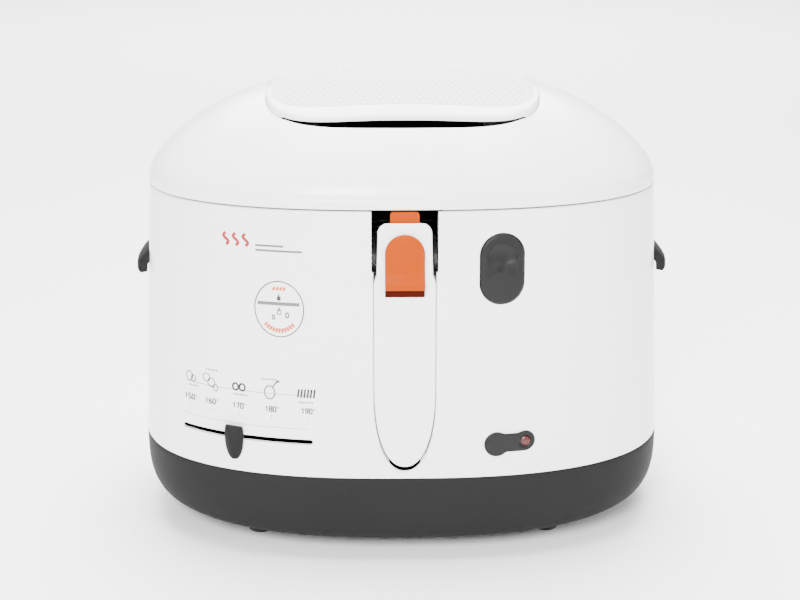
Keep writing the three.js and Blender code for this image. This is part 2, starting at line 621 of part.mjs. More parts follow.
// ---- folding handle and its lock ---------------------------------------------------
const corner = HANDLE_CORNER;
const handleOutline = [
  ...tipOutline(HANDLE_WIDTH, HANDLE_TIP, HANDLE_TIP_LENGTH),
  [HANDLE_WIDTH, HANDLE_SHOULDER - 4], [HANDLE_NECK, HANDLE_SHOULDER],
  [HANDLE_NECK, HANDLE_TOP - corner], [HANDLE_NECK - 0.3 * corner, HANDLE_TOP - 0.3 * corner],
  [HANDLE_NECK - corner, HANDLE_TOP], [corner - HANDLE_NECK, HANDLE_TOP],
  [0.3 * corner - HANDLE_NECK, HANDLE_TOP - 0.3 * corner], [-HANDLE_NECK, HANDLE_TOP - corner],
  [-HANDLE_NECK, HANDLE_SHOULDER], [-HANDLE_WIDTH, HANDLE_SHOULDER - 4],
];
const heel = crosswise([
  [PIVOT_Y - 1, PIVOT_Z - 5], [PIVOT_Y + HEEL_LENGTH - 3, PIVOT_Z + 3],
  [PIVOT_Y + HEEL_LENGTH, PIVOT_Z + HEEL_RISE], [PIVOT_Y + HEEL_LENGTH - 5, PIVOT_Z + HEEL_RISE],
  [PIVOT_Y - 1, PIVOT_Z + 5],
], -HEEL_WIDTH, HEEL_WIDTH);
const slitFront = TONGUE_INSET - GAP;
const slitBack = TONGUE_INSET + TONGUE_THICK + GAP;
const stemHalf = 5;
const stemTop = TONGUE_BOTTOM + 19;
const springBottom = TONGUE_BOTTOM - 16;
const springInset = TONGUE_INSET + TONGUE_THICK / 2 + 0.6;
const springY = frontY(TONGUE_BOTTOM - 8, springInset);
const handle = leaning(handleOutline, -HANDLE_PROUD, HANDLE_BACK)
  .add(heel)
  .subtract(bar('x', -30, 30, pinAxis, PIN_RADIUS + PIN_PLAY, PIN_RADIUS + PIN_PLAY, 12))
  .subtract(leaning(
    rectangle(TONGUE_WIDTH + GAP, TONGUE_BOTTOM - LOCK_TRAVEL - 1, HANDLE_TOP + 9), slitFront, slitBack,
  ))
  .subtract(leaning(rectangle(stemHalf + GAP, TONGUE_BOTTOM - LOCK_TRAVEL - 1, stemTop + GAP), -5, slitBack))
  .subtract(bar('z', springBottom, TONGUE_BOTTOM, [0, springY], 3, 3, 12));
add('handle', handle, WHITE);

const plateFront = -HANDLE_PROUD - GAP - LOCK_PLATE;
const archRadius = LOCK_WIDTH;
const archOutline = [[-LOCK_WIDTH, LOCK_BOTTOM], [LOCK_WIDTH, LOCK_BOTTOM]];
for (let i = 0; i <= 10; i += 1) {
  const angle = (Math.PI * i) / 10;
  archOutline.push([
    archRadius * Math.cos(angle), LOCK_TOP - archRadius + archRadius * Math.sin(angle),
  ]);
}
const ridgeFoot = frontY(LOCK_BOTTOM, -HANDLE_PROUD - GAP);
const ridge = crosswise([
  [ridgeFoot, LOCK_BOTTOM], [ridgeFoot, LOCK_BOTTOM + 18], [ridgeFoot - 2.3, LOCK_BOTTOM + 18],
  [ridgeFoot - 4.9, LOCK_BOTTOM + 12], [ridgeFoot - 4.7, LOCK_BOTTOM + 5],
], -LOCK_WIDTH, LOCK_WIDTH);
const lock = leaning(archOutline, plateFront, -HANDLE_PROUD - GAP)
  .add(ridge.subtract(leaning(rectangle(30, 150, 230), -HANDLE_PROUD - GAP, 20)))
  .add(leaning(rectangle(stemHalf, TONGUE_BOTTOM, stemTop), -HANDLE_PROUD - 1, TONGUE_INSET + TONGUE_THICK))
  .add(leaning(rectangle(TONGUE_WIDTH, TONGUE_BOTTOM, TONGUE_TOP), TONGUE_INSET, TONGUE_INSET + TONGUE_THICK));
add('lock_slider', lock, ORANGE);
add('lock_spring', spring('z', springBottom + GAP, TONGUE_BOTTOM - GAP, [0, springY], 2.1, 0.5, 4), STEEL);

// ---- lid release -------------------------------------------------------------------
const button = leaning(stadium(BUTTON_WIDTH, BUTTON_HEIGHT, BUTTON_X, BUTTON_Z), -5, 30)
  .intersect(bodySolid(BUTTON_PROUD))
  .subtract(box(0, 200, -BUTTON_BACK, 0, 0, 300))
  .subtract(box(
    BUTTON_X - 4.8, BUTTON_X + 4.8, -BUTTON_BACK - 5, 0, LEVER_PIVOT_Z - 14.3, LEVER_PIVOT_Z + 20,
  ))
  .subtract(box(BUTTON_X - 9, BUTTON_X + 9, -BUTTON_BACK - 4.2, 0, LEVER_PIVOT_Z - 3, LEVER_PIVOT_Z + 3));
add('release_button', button, CHARCOAL);
const leverFace = -BUTTON_BACK + 0.5;
const latch = crosswise([
  [leverFace, LEVER_PIVOT_Z - 17], [leverFace + 3, LEVER_PIVOT_Z - 17],
  [LEVER_PIVOT_Y + 3.4, LEVER_PIVOT_Z], [LEVER_PIVOT_Y + 1.7, LEVER_PIVOT_Z + 7],
  [LEVER_PIVOT_Y + 1.7, LEVER_PIVOT_Z + 17],
  [LEVER_PIVOT_Y - 1.3, LEVER_PIVOT_Z + 17], [LEVER_PIVOT_Y - 1.9, LEVER_PIVOT_Z + 4],
  [LEVER_PIVOT_Y - 3.2, LEVER_PIVOT_Z],
], BUTTON_X - 4, BUTTON_X + 4)
  .subtract(bar('x', 40, 80, [LEVER_PIVOT_Y, LEVER_PIVOT_Z], 1.5 + PIN_PLAY, 1.5 + PIN_PLAY, 12));
add('latch_lever', latch, CHARCOAL);
add('latch_pin', bar('x', BUTTON_X - 8, BUTTON_X + 8, [LEVER_PIVOT_Y, LEVER_PIVOT_Z], 1.5, 1.5, 12), STEEL);
add('button_spring', spring(
  'y', -BUTTON_BACK + GAP, -BUTTON_BACK + 10.2, [BUTTON_X + 8.6, BUTTON_Z - 3.5], 2.6, 0.5, 4,
), STEEL);

// ---- lid ---------------------------------------------------------------------------
// u is 0 at the top of the upright band and 1 at the crown.
function domeRing(u, inset) {
  const shrink = (1 - u ** DOME_RISE_POWER) ** (1 / DOME_SHRINK_POWER);
  return ring(
    (TOP_WIDTH - inset) * shrink,
    (TOP_DEPTH - inset) * shrink,
    RIM_Z + FLANGE_HEIGHT + DOME_HEIGHT * u - inset * u,
    mix(OVAL_POWER, CROWN_POWER, u),
  );
}
const DOME_ROWS = [0, 0.15, 0.3, 0.45, 0.6, 0.72, 0.83, 0.91, 0.96, 0.99];
const LID_BOTTOM = RIM_Z + 0.4;

function domeShell(outerInset, innerInset) {
  const inner = DOME_ROWS.map((u) => domeRing(u, innerInset)).reverse();
  const outer = DOME_ROWS.map((u) => domeRing(u, outerInset));
  return oval([
    ...inner, ring(TOP_WIDTH - innerInset, TOP_DEPTH - innerInset, LID_BOTTOM),
    ring(TOP_WIDTH - outerInset, TOP_DEPTH - outerInset, LID_BOTTOM), ...outer,
  ]);
}

function coverOutline(grow) {
  const points = [];
  const steps = 40;
  for (let i = 0; i < steps; i += 1) {
    const place = ring(COVER_WIDTH + grow, COVER_DEPTH + grow, 0, COVER_POWER);
    const [x, y] = ovalPoint(place, (2 * Math.PI * i) / steps);
    points.push([x, y + COVER_Y]);
  }
  return points;
}
const coverEdgeY = (x, grow = 0) => COVER_Y
  - (COVER_DEPTH + grow) * (1 - Math.abs(x / (COVER_WIDTH + grow)) ** COVER_POWER) ** (1 / COVER_POWER);

// The steam slot: a lens along the front edge of the cover.
const slotOutline = [];
for (let i = -8; i <= 8; i += 1) {
  const t = i / 8;
  const x = STEAM_SLOT_WIDTH * t;
  slotOutline.push([x, coverEdgeY(x) - STEAM_SLOT_DEPTH * (1 - t * t) - 0.1]);
}
slotOutline.push([STEAM_SLOT_WIDTH, COVER_Y - 30], [-STEAM_SLOT_WIDTH, COVER_Y - 30]);

const lidLug = hingeBarrel(-HINGE_LUG, HINGE_LUG, HINGE_BARREL)
  .add(crosswise([
    [TOP_DEPTH - 4, LID_BOTTOM], [HINGE_Y, HINGE_Z], [HINGE_Y + HINGE_BARREL, HINGE_Z],
    [HINGE_Y + HINGE_BARREL - 1, LID_BOTTOM + 1], [TOP_DEPTH - 3, LID_BOTTOM + FLANGE_HEIGHT],
  ], -HINGE_LUG, HINGE_LUG))
  .subtract(hingeBarrel(-HINGE_LUG - 1, HINGE_LUG + 1, HINGE_PIN + PIN_PLAY))
  .subtract(oval([
    ring(TOP_WIDTH - DOME_WALL, TOP_DEPTH - DOME_WALL, RIM_Z - 20),
    ring(TOP_WIDTH - DOME_WALL, TOP_DEPTH - DOME_WALL, RIM_Z + 20),
  ]))
  .subtract(casing.intersect(box(-60, 60, 100, 140, RIM_Z - 30, RIM_Z)));
const lidShell = domeShell(0, DOME_WALL)
  .subtract(upright(coverOutline(0.4), RIM_Z + 20, RIM_Z + 100))
  .subtract(upright(slotOutline, RIM_Z + 20, RIM_Z + 100))
  .add(lidLug);
add('lid_shell', lidShell, WHITE);
add('lid_hinge_pin', hingeBarrel(-HINGE_LUG - HINGE_EAR, HINGE_LUG + HINGE_EAR, HINGE_PIN), STEEL);

const cover = domeShell(-COVER_PROUD, DOME_WALL - 0.5).intersect(upright(coverOutline(0), RIM_Z + 20, RIM_Z + 100));
add('filter_cover', cover, WHITE);

const handleRoom = box(
  -NOTCH_WIDTH - 1.1, NOTCH_WIDTH + 1.1, -LOW_DEPTH, PIVOT_Y + HEEL_LENGTH + 5, RIM_Z - 20, RIM_Z + 12,
);
const LINER_BOTTOM = RIM_Z + 3.5;
const LINER_THICK = 2;
const FILTER_WIDTH = 56;
const FILTER_DEPTH = 40;
const liner = oval([
  ring(TOP_WIDTH - 7, TOP_DEPTH - 7, LINER_BOTTOM), ring(TOP_WIDTH - 7, TOP_DEPTH - 7, LINER_BOTTOM + LINER_THICK),
])
  .subtract(handleRoom)
  .subtract(box(-FILTER_WIDTH + 8, FILTER_WIDTH - 8, -FILTER_DEPTH + 8, FILTER_DEPTH - 8, RIM_Z, RIM_Z + 12));
add('lid_liner', liner, ALUMINIUM);
const gasketRing = (drawIn, z) => ring(COLLAR_WIDTH - drawIn, COLLAR_DEPTH - drawIn, z);
const gasket = oval([
  gasketRing(4.5, RIM_Z - 6), gasketRing(0.8, RIM_Z - 6),
  gasketRing(0.8, LINER_BOTTOM - GAP), gasketRing(4.5, LINER_BOTTOM - GAP),
], true).subtract(handleRoom);
add('lid_gasket', gasket, RUBBER);
add('lid_catch', box(BUTTON_X - 5.6, BUTTON_X + 5.4, -106, -103.2, RIM_Z - 15.5, LINER_BOTTOM - GAP), STEEL);

const trayBottom = LINER_BOTTOM + LINER_THICK + GAP;
const TRAY_HEIGHT = 25;
let tray = box(-FILTER_WIDTH, FILTER_WIDTH, -FILTER_DEPTH, FILTER_DEPTH, trayBottom, trayBottom + TRAY_HEIGHT)
  .subtract(box(
    2 - FILTER_WIDTH, FILTER_WIDTH - 2, 2 - FILTER_DEPTH, FILTER_DEPTH - 2, trayBottom + 2, trayBottom + 60,
  ));
for (let i = -3; i <= 3; i += 1) {
  tray = tray.subtract(box(12 * i - 3, 12 * i + 3, -FILTER_DEPTH + 12, FILTER_DEPTH - 12, trayBottom - 5, trayBottom + 5));
}
add('filter_tray', tray, CHARCOAL);
const media = box(
  2.4 - FILTER_WIDTH, FILTER_WIDTH - 2.4, 2.4 - FILTER_DEPTH, FILTER_DEPTH - 2.4,
  trayBottom + 2 + GAP, trayBottom + 16,
);
add('filter_media', media, MEDIA);

export default fryer;
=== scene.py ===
import json
import math

import bmesh
import bpy
import numpy as np
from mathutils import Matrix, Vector

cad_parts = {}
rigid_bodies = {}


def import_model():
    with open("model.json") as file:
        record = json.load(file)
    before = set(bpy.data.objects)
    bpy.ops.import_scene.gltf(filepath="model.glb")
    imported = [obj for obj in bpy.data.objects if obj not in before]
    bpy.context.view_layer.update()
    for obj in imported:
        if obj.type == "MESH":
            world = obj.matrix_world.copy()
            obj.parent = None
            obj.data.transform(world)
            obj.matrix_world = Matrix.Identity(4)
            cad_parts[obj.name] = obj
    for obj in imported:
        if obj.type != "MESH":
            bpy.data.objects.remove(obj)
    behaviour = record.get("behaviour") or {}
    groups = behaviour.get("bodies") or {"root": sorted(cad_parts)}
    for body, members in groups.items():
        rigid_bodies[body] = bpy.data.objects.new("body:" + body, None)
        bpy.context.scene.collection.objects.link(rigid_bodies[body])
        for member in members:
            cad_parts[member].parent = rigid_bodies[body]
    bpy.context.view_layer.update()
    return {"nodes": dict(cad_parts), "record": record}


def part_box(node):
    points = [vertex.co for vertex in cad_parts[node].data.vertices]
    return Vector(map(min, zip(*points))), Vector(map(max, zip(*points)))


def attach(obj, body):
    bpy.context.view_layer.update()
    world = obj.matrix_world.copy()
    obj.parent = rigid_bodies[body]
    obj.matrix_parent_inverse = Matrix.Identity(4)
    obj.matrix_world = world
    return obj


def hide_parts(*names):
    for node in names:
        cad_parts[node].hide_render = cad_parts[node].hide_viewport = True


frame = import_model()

# ---- Studio ----------------------------------------------------------------
# A pale seamless floor, a camera at standing distance a little left of the middle, and
# four soft lamps: one overhead, a key at the left, a fill at the right and a backdrop.
MM = 0.001
CAMERA_PLACE = Vector((-18, -1056, 432)) * MM
CAMERA_AIM = Vector((-1, 0, 138)) * MM
CAMERA_LENS = 71.3

camera_data = bpy.data.cameras.new("studio_camera")
camera_data.lens = CAMERA_LENS
camera_data.sensor_width = 36
camera = bpy.data.objects.new("studio_camera", camera_data)
camera.location = CAMERA_PLACE
camera.rotation_euler = (CAMERA_AIM - CAMERA_PLACE).to_track_quat("-Z", "Y").to_euler()
bpy.context.scene.collection.objects.link(camera)
bpy.context.scene.camera = camera


def studio_lamp(name, place, size, power, aim=(0, 0, 0.15)):
    """A square lamp that faces the middle of the fryer, or another place."""
    data = bpy.data.lights.new(name, "AREA")
    data.shape = "SQUARE"
    data.size = size
    data.energy = power
    lamp = bpy.data.objects.new(name, data)
    lamp.location = place
    lamp.rotation_euler = (Vector(aim) - Vector(place)).to_track_quat("-Z", "Y").to_euler()
    bpy.context.scene.collection.objects.link(lamp)


studio_lamp("overhead_lamp", (0.0, 0.15, 1.5), 1.1, 78)
studio_lamp("key_lamp", (-0.45, -1.9, 1.2), 0.7, 108)
studio_lamp("fill_lamp", (1.3, -1.3, 0.8), 0.8, 19)
studio_lamp("backdrop_lamp", (0.0, 3.2, 2.4), 3.5, 480, (0, 3.0, 0))

world = bpy.data.worlds.new("pale_room")
bpy.context.scene.world = world
world.use_nodes = True
world.node_tree.nodes["Background"].inputs["Color"].default_value = (1.0, 1.0, 1.0, 1.0)
world.node_tree.nodes["Background"].inputs["Strength"].default_value = 0.8


def finish(name, color, roughness, grain, bump, metallic=0.0, stretch=(1, 1, 1), mottle=0.04,
           sheen=0.5):
    """A moulded or rolled finish: the colour varies by a soft noise, and a fine noise at
    the grain's scale moves the roughness and, as a bump, the surface."""
    material = bpy.data.materials.new(name)
    material.use_nodes = True
    nodes = material.node_tree.nodes
    links = material.node_tree.links
    shader = nodes["Principled BSDF"]
    shader.inputs["Metallic"].default_value = metallic
    shader.inputs["Specular IOR Level"].default_value = sheen
    place = nodes.new("ShaderNodeTexCoord")
    mapping = nodes.new("ShaderNodeMapping")
    mapping.inputs["Scale"].default_value = stretch
    links.new(place.outputs["Object"], mapping.inputs["Vector"])
    cloud = nodes.new("ShaderNodeTexNoise")
    cloud.inputs["Scale"].default_value = 14
    cloud.inputs["Detail"].default_value = 3
    links.new(mapping.outputs["Vector"], cloud.inputs["Vector"])
    tint = nodes.new("ShaderNodeMapRange")
    tint.inputs["To Min"].default_value = 1 - mottle
    tint.inputs["To Max"].default_value = 1.0
    links.new(cloud.outputs["Fac"], tint.inputs["Value"])
    shade = nodes.new("ShaderNodeVectorMath")
    shade.operation = "SCALE"
    shade.inputs[0].default_value = color
    links.new(tint.outputs["Result"], shade.inputs["Scale"])
    links.new(shade.outputs["Vector"], shader.inputs["Base Color"])
    fine = nodes.new("ShaderNodeTexNoise")
    fine.inputs["Scale"].default_value = grain
    fine.inputs["Detail"].default_value = 4
    links.new(mapping.outputs["Vector"], fine.inputs["Vector"])
    gloss = nodes.new("ShaderNodeMapRange")
    gloss.inputs["To Min"].default_value = roughness * 0.85
    gloss.inputs["To Max"].default_value = min(1.0, roughness * 1.15)
    links.new(fine.outputs["Fac"], gloss.inputs["Value"])
    links.new(gloss.outputs["Result"], shader.inputs["Roughness"])
    relief = nodes.new("ShaderNodeBump")
    relief.inputs["Strength"].default_value = bump
    relief.inputs["Distance"].default_value = 0.1 * MM
    links.new(fine.outputs["Fac"], relief.inputs["Height"])
    links.new(relief.outputs["Normal"], shader.inputs["Normal"])
    return material


def grid_faces(rows, columns, wrap_rows, wrap_columns):
    """Quads between neighbouring rows and columns of a grid, counted row by row."""
    r = np.arange(rows if wrap_rows else rows - 1)
    c = np.arange(columns if wrap_columns else columns - 1)
    r, c = np.meshgrid(r, c, indexing="ij")
    r1 = (r + 1) % rows
    c1 = (c + 1) % columns
    quads = [r * columns + c, r * columns + c1, r1 * columns + c1, r1 * columns + c]
    return np.stack(quads, axis=-1).reshape(-1, 4)


def shell(points, wrap_rows=False, wrap_columns=True, caps=True):
    """A grid of points as vertices and faces of four corners. A cap is a fan from the
    middle of the first or the last row; its faces have -1 for a fourth corner."""
    rows, columns = points.shape[:2]
    vertices = points.reshape(-1, 3)
    faces = grid_faces(rows, columns, wrap_rows, wrap_columns)
    if caps and not wrap_rows:
        first, last = len(vertices), len(vertices) + 1
        vertices = np.vstack([vertices, points[0].mean(axis=0), points[-1].mean(axis=0)])
        c = np.arange(columns)
        c1 = (c + 1) % columns
        top = (rows - 1) * columns
        none = np.full(columns, -1)
        first_fan = np.stack([c1, c, np.full(columns, first), none], axis=1)
        last_fan = np.stack([top + c, top + c1, np.full(columns, last), none], axis=1)
        faces = np.vstack([faces, first_fan, last_fan])
    return vertices, faces


def joined(*parts):
    """Several parts' vertices and faces as one part's."""
    starts = np.cumsum([0] + [len(vertices) for vertices, _ in parts])
    faces = [np.where(part[1] < 0, -1, part[1] + start) for part, start in zip(parts, starts)]
    return np.vstack([vertices for vertices, _ in parts]), np.vstack(faces)


def bare_mesh(name, part):
    """A mesh from vertices in millimetres and faces, just as they come."""
    vertices, faces = part
    corners = [face if face[3] >= 0 else face[:3] for face in faces.tolist()]
    mesh = bpy.data.meshes.new(name)
    mesh.from_pydata((vertices * MM).tolist(), [], corners)
    return mesh


def bare_object(name, part, crease=35):
    """A mesh object with its faces out, smooth below the crease angle in degrees."""
    mesh = bare_mesh(name, part)
    work = bmesh.new()
    work.from_mesh(mesh)
    bmesh.ops.remove_doubles(work, verts=work.verts, dist=0.002 * MM)
    bmesh.ops.recalc_face_normals(work, faces=work.faces)
    work.to_mesh(mesh)
    work.free()
    mesh.shade_smooth()
    mesh.set_sharp_from_angle(angle=math.radians(crease))
    thing = bpy.data.objects.new(name, mesh)
    bpy.context.scene.collection.objects.link(thing)
    return thing


def cut(thing, *cutters, crease=35):
    """Takes closed cutter solids out of a closed piece."""
    for number, cutter in enumerate(cutters):
        tool = bare_object(f"cutter_{number}", cutter)
        modifier = thing.modifiers.new("cut", "BOOLEAN")
        modifier.operation = "DIFFERENCE"
        modifier.solver = "EXACT"
        modifier.object = tool
        shape = thing.evaluated_get(bpy.context.evaluated_depsgraph_get())
        mesh = bpy.data.meshes.new_from_object(shape)
        thing.modifiers.clear()
        thing.data = mesh
        bpy.data.objects.remove(tool)
    thing.data.shade_smooth()
    thing.data.set_sharp_from_angle(angle=math.radians(crease))


def settle(thing, body, slot, material, *nodes):
    """Gives a finished piece its material and body, and hides the CAD nodes it stands for. The slot is not
    used.
    """
    thing.data.materials.clear()
    thing.data.materials.append(material)
    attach(thing, body)
    if nodes:
        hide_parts(*nodes)


def piece(name, part, body, slot, material, *nodes, crease=35):
    """A finished piece straight from vertices and faces."""
    thing = bare_object(name, part, crease)
    settle(thing, body, slot, material, *nodes)
    return thing


FLOOR_HALF = 30000
floor_corners = FLOOR_HALF * np.array([[-1, -1, 0], [1, -1, 0], [1, 1, 0], [-1, 1, 0]])
floor = bare_object("studio_floor", (floor_corners, np.array([[0, 1, 2, 3]])))
floor.data.materials.append(finish("floor_paper", (0.93, 0.93, 0.93), 0.7, 900, 0.05, mottle=0.01))

# ---- Outline of the body ---------------------------------------------------
# Casing, skirt and lid share one squarish oval, which narrows a little towards the rim.
OVAL_POWER = 2.49
AROUND = 288
skirt_low, skirt_high = (np.array(v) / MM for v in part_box("base_skirt"))
collar_high = np.array(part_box("inner_collar")[1]) / MM
SEAM = skirt_high[2] + 0.3
RIM = collar_high[2] + 0.7
LOW = np.array([skirt_high[0], -skirt_low[1]])
TOP = np.array([168.0, 122.0])


def oval(half_width, half_depth, z, power=OVAL_POWER, count=AROUND):
    """Rows of a squarish oval: |x/a|^p + |y/b|^p = 1, one row for each height."""
    a, b, z, power = (np.atleast_1d(v).astype(float)[:, None] for v in (half_width, half_depth, z, power))
    angle = np.linspace(0, 2 * np.pi, count, endpoint=False)[None, :]
    c, s = np.cos(angle), np.sin(angle)
    x = a * np.sign(c) * np.abs(c) ** (2 / power)
    y = b * np.sign(s) * np.abs(s) ** (2 / power)
    return np.stack([x, y, np.broadcast_to(z, x.shape)], axis=-1)


def body_half(z, inset=0.0):
    """Half width and half depth of the casing at a height, less an inset."""
    t = (np.asarray(z, float) - SEAM) / (RIM - SEAM)
    return LOW[0] + (TOP[0] - LOW[0]) * t - inset, LOW[1] + (TOP[1] - LOW[1]) * t - inset


def front(x, z, inset=0.0):
    """Depth of the casing's front face at a place across it and a height."""
    a, b = body_half(z, inset)
    return -b * (1 - np.abs(np.asarray(x, float) / a) ** OVAL_POWER) ** (1 / OVAL_POWER)


def body_rows(profile):
    """Oval rows from a profile of insets and heights."""
    inset, z = np.array(profile, float).T
    a, b = body_half(z, inset)
    return oval(a, b, z)


def face_extrusion(outline, inset_front, inset_back):
    """An outline in x and z, carried back from one inset to another behind the flat
    middle of the casing's leaning front."""
    outline = np.asarray(outline, float)
    rows = []
    for inset in (inset_front, inset_back):
        y = -body_half(outline[:, 1])[1] + inset
        rows.append(np.stack([outline[:, 0], y, outline[:, 1]], axis=-1))
    return shell(np.array(rows))


def block(low, high):
    """A box between two corners."""
    x0, y0, z0 = low
    x1, y1, z1 = high
    bottom = [[x0, y0, z0], [x1, y0, z0], [x1, y1, z0], [x0, y1, z0]]
    top = [[x0, y0, z1], [x1, y0, z1], [x1, y1, z1], [x0, y1, z1]]
    return shell(np.array([bottom, top], float))


def turned(profile, centre, axis="z", count=48):
    """A profile of radius and height turned about an axis through the centre."""
    radius, along = np.array(profile, float).T
    angle = np.linspace(0, 2 * np.pi, count, endpoint=False)
    u = radius[:, None] * np.cos(angle)
    v = radius[:, None] * np.sin(angle)
    w = np.broadcast_to(along[:, None], u.shape)
    order = {"x": (w, u, v), "y": (u, w, v), "z": (u, v, w)}[axis]
    return shell(np.stack(order, axis=-1) + np.asarray(centre, float))


# ---- Handle channel and notch ----------------------------------------------
# A shallow pocket moulded into the casing's front for the folded handle. It opens into a
# notch at the rim, where the basket's bracket crosses to the handle.
NOTCH_HALF = 20.4
SILL = 189.7
CHANNEL_DEPTH = 10.2
CHANNEL_GAP = 0.25
CHANNEL_FOOT_GAP = 3.0
POCKET_WALL = 2.2
NOTCH_FRONT = -121.2
NOTCH_BACK = -106.8
GRIP_HALF = 19.0
TIP_Z = 64.7
TIP_LENGTH = 50.0
TIP_POWER = 2.2


def tongue_outline(half, tip, length, top, count=48):
    """The handle's lower end, a squarish half ellipse, closed by a straight top."""
    angle = np.pi + np.pi * np.arange(count + 1) / count
    c, s = np.cos(angle), np.sin(angle)
    x = half * np.sign(c) * np.abs(c) ** (2 / TIP_POWER)
    z = tip + length - length * np.abs(s) ** (2 / TIP_POWER)
    return np.vstack([np.stack([x, z], axis=-1), [[half, top], [-half, top]]])


def pocket(grow, top=SILL):
    """Outline of the channel, grown all round."""
    half = GRIP_HALF + CHANNEL_GAP + grow
    return tongue_outline(half, TIP_Z - CHANNEL_FOOT_GAP - grow, TIP_LENGTH + grow, top)


def pocket_chamfer():
    """A cutter that eases the channel's sharp edge all round."""
    rows = []
    for grow, inset in ((1.25, -3.0), (1.25, -0.1), (0.7, 0.25), (0.05, 1.0), (-4.0, 1.1)):
        outline = pocket(grow)
        y = -body_half(outline[:, 1])[1] + inset
        rows.append(np.stack([outline[:, 0], y, outline[:, 1]], axis=-1))
    return shell(np.array(rows))


WHITE = finish("white_plastic_gloss", (0.9, 0.9, 0.9), 0.26, 700, 0.05, mottle=0.012)
CHARCOAL = finish("charcoal_plastic_grain", (0.0118, 0.0118, 0.012), 0.62, 1600, 0.12,
                  mottle=0.12, sheen=0.06)

channel = bare_object("handle_channel",
                      face_extrusion(pocket(2.0), 0.7, CHANNEL_DEPTH + POCKET_WALL))
foot_opening = block((-10, -140, 50), (10, -100, 67))
cut(
    channel,
    face_extrusion(pocket(0.0, SILL + 2), -5, CHANNEL_DEPTH),
    pocket_chamfer(),
    foot_opening,
)
settle(channel, "casing", "white_plastic", WHITE)
notch_frame = bare_object("handle_notch", block(
    (-NOTCH_HALF - POCKET_WALL, NOTCH_FRONT, SILL - POCKET_WALL),
    (NOTCH_HALF + POCKET_WALL, NOTCH_BACK, RIM - 0.9)))
cut(notch_frame, block((-NOTCH_HALF, -140, SILL), (NOTCH_HALF, -90, RIM + 5)))
settle(notch_frame, "casing", "charcoal_plastic", CHARCOAL)

# ---- Casing ----------------------------------------------------------------
# One injection-moulded shell of glossy white plastic, 2.5 mm thick, with rounded edges at
# both seams and holes for the notch, the button and the slot.
CASING_WALL = 2.5
BUTTON_CENTRE = (59.6, 190.7)
BUTTON_HALF = 13.6
BUTTON_HALF_HEIGHT = 22.0
BUTTON_GAP = 0.5
SLOT_Z = 80.0
SLOT_ENDS = (-142.0, -57.4)
SLOT_HALF = 1.75
HINGE_Y = 125.35
HINGE_Z = 224.0
BARREL = 4.2
KNUCKLE_GAP = 0.6
LUG_HALF = 30.0
EAR_WIDTH = 10.0


def stadium(half, half_height, centre, count=40):
    """An upright rounded slot outline in x and z."""
    angle = 2 * np.pi * (np.arange(count) + 0.5) / count
    x = centre[0] + half * np.cos(angle)
    z = centre[1] + half * np.sin(angle) + np.sign(np.sin(angle)) * (half_height - half)
    return np.stack([x, z], axis=-1)


def slot_cutter():
    """A round-ended slab across the casing's wall, from one end of the slot to the other."""
    left, right = SLOT_ENDS
    angle = np.linspace(np.pi / 2, 3 * np.pi / 2, 12)
    bend = SLOT_HALF * np.stack([1 + np.cos(angle), np.sin(angle)], axis=-1)
    outline = np.vstack([[left, SLOT_Z] + bend, [right, SLOT_Z] - bend])
    rows = []
    for y in (-140, -78):
        rows.append(np.stack([outline[:, 0], np.full(len(outline), y), outline[:, 1]], axis=-1))
    return shell(np.array(rows))


def barrel(x0, x1, radius=BARREL):
    """A hinge knuckle along x with slightly rounded ends."""
    r = 0.5
    return turned([(radius - r, x0), (radius, x0 + r), (radius, x1 - r), (radius - r, x1)],
                  (0, HINGE_Y, HINGE_Z), "x", 40)


heights = np.linspace(SEAM + 2, RIM - 3, 24)
casing_profile = [(CASING_WALL, SEAM), (0.7, SEAM), (0.2, SEAM + 0.25), (0.0, SEAM + 0.8)]
casing_profile += [(0.0, z) for z in heights]
casing_profile += [(0.0, RIM - 1.7), (0.2, RIM - 1.1), (0.7, RIM - 0.75), (CASING_WALL, RIM - 0.7)]
casing_profile += [(CASING_WALL, z) for z in heights[::-1]]
casing = bare_object("outer_casing_shell", shell(body_rows(casing_profile), wrap_rows=True))
cut(
    casing,
    face_extrusion(pocket(0.0, SILL + 2), -10, CHANNEL_DEPTH),
    pocket_chamfer(),
    block((-NOTCH_HALF, -150, SILL), (NOTCH_HALF, -100, RIM + 10)),
    face_extrusion(
        stadium(BUTTON_HALF + BUTTON_GAP, BUTTON_HALF_HEIGHT + BUTTON_GAP, BUTTON_CENTRE), -5, 25),
    slot_cutter(),
    barrel(-LUG_HALF - KNUCKLE_GAP, LUG_HALF + KNUCKLE_GAP, BARREL + KNUCKLE_GAP),
)
settle(casing, "casing", "white_plastic", WHITE, "outer_casing")

ears = []
for side in (-1, 1):
    ear_inside = LUG_HALF + KNUCKLE_GAP
    x0, x1 = sorted((side * ear_inside, side * (ear_inside + EAR_WIDTH)))
    ears.append(barrel(x0, x1))
    ears.append(block((x0 + 0.3, 119.6, HINGE_Z - 14), (x1 - 0.3, HINGE_Y + 2.0, HINGE_Z - 1)))
piece("hinge_ears", joined(*ears), "casing", "white_plastic", WHITE)

# ---- Base skirt ------------------------------------------------------------
# A grained charcoal tub that closes the body underneath. Its wall stands almost upright
# at the seam and rolls in ever more tightly to the flat floor.
SKIRT_ROLL = 47.4
SKIRT_ROLL_DEPTH = 0.555
SKIRT_POWER = 3.54
SKIRT_BOTTOM = skirt_low[2]


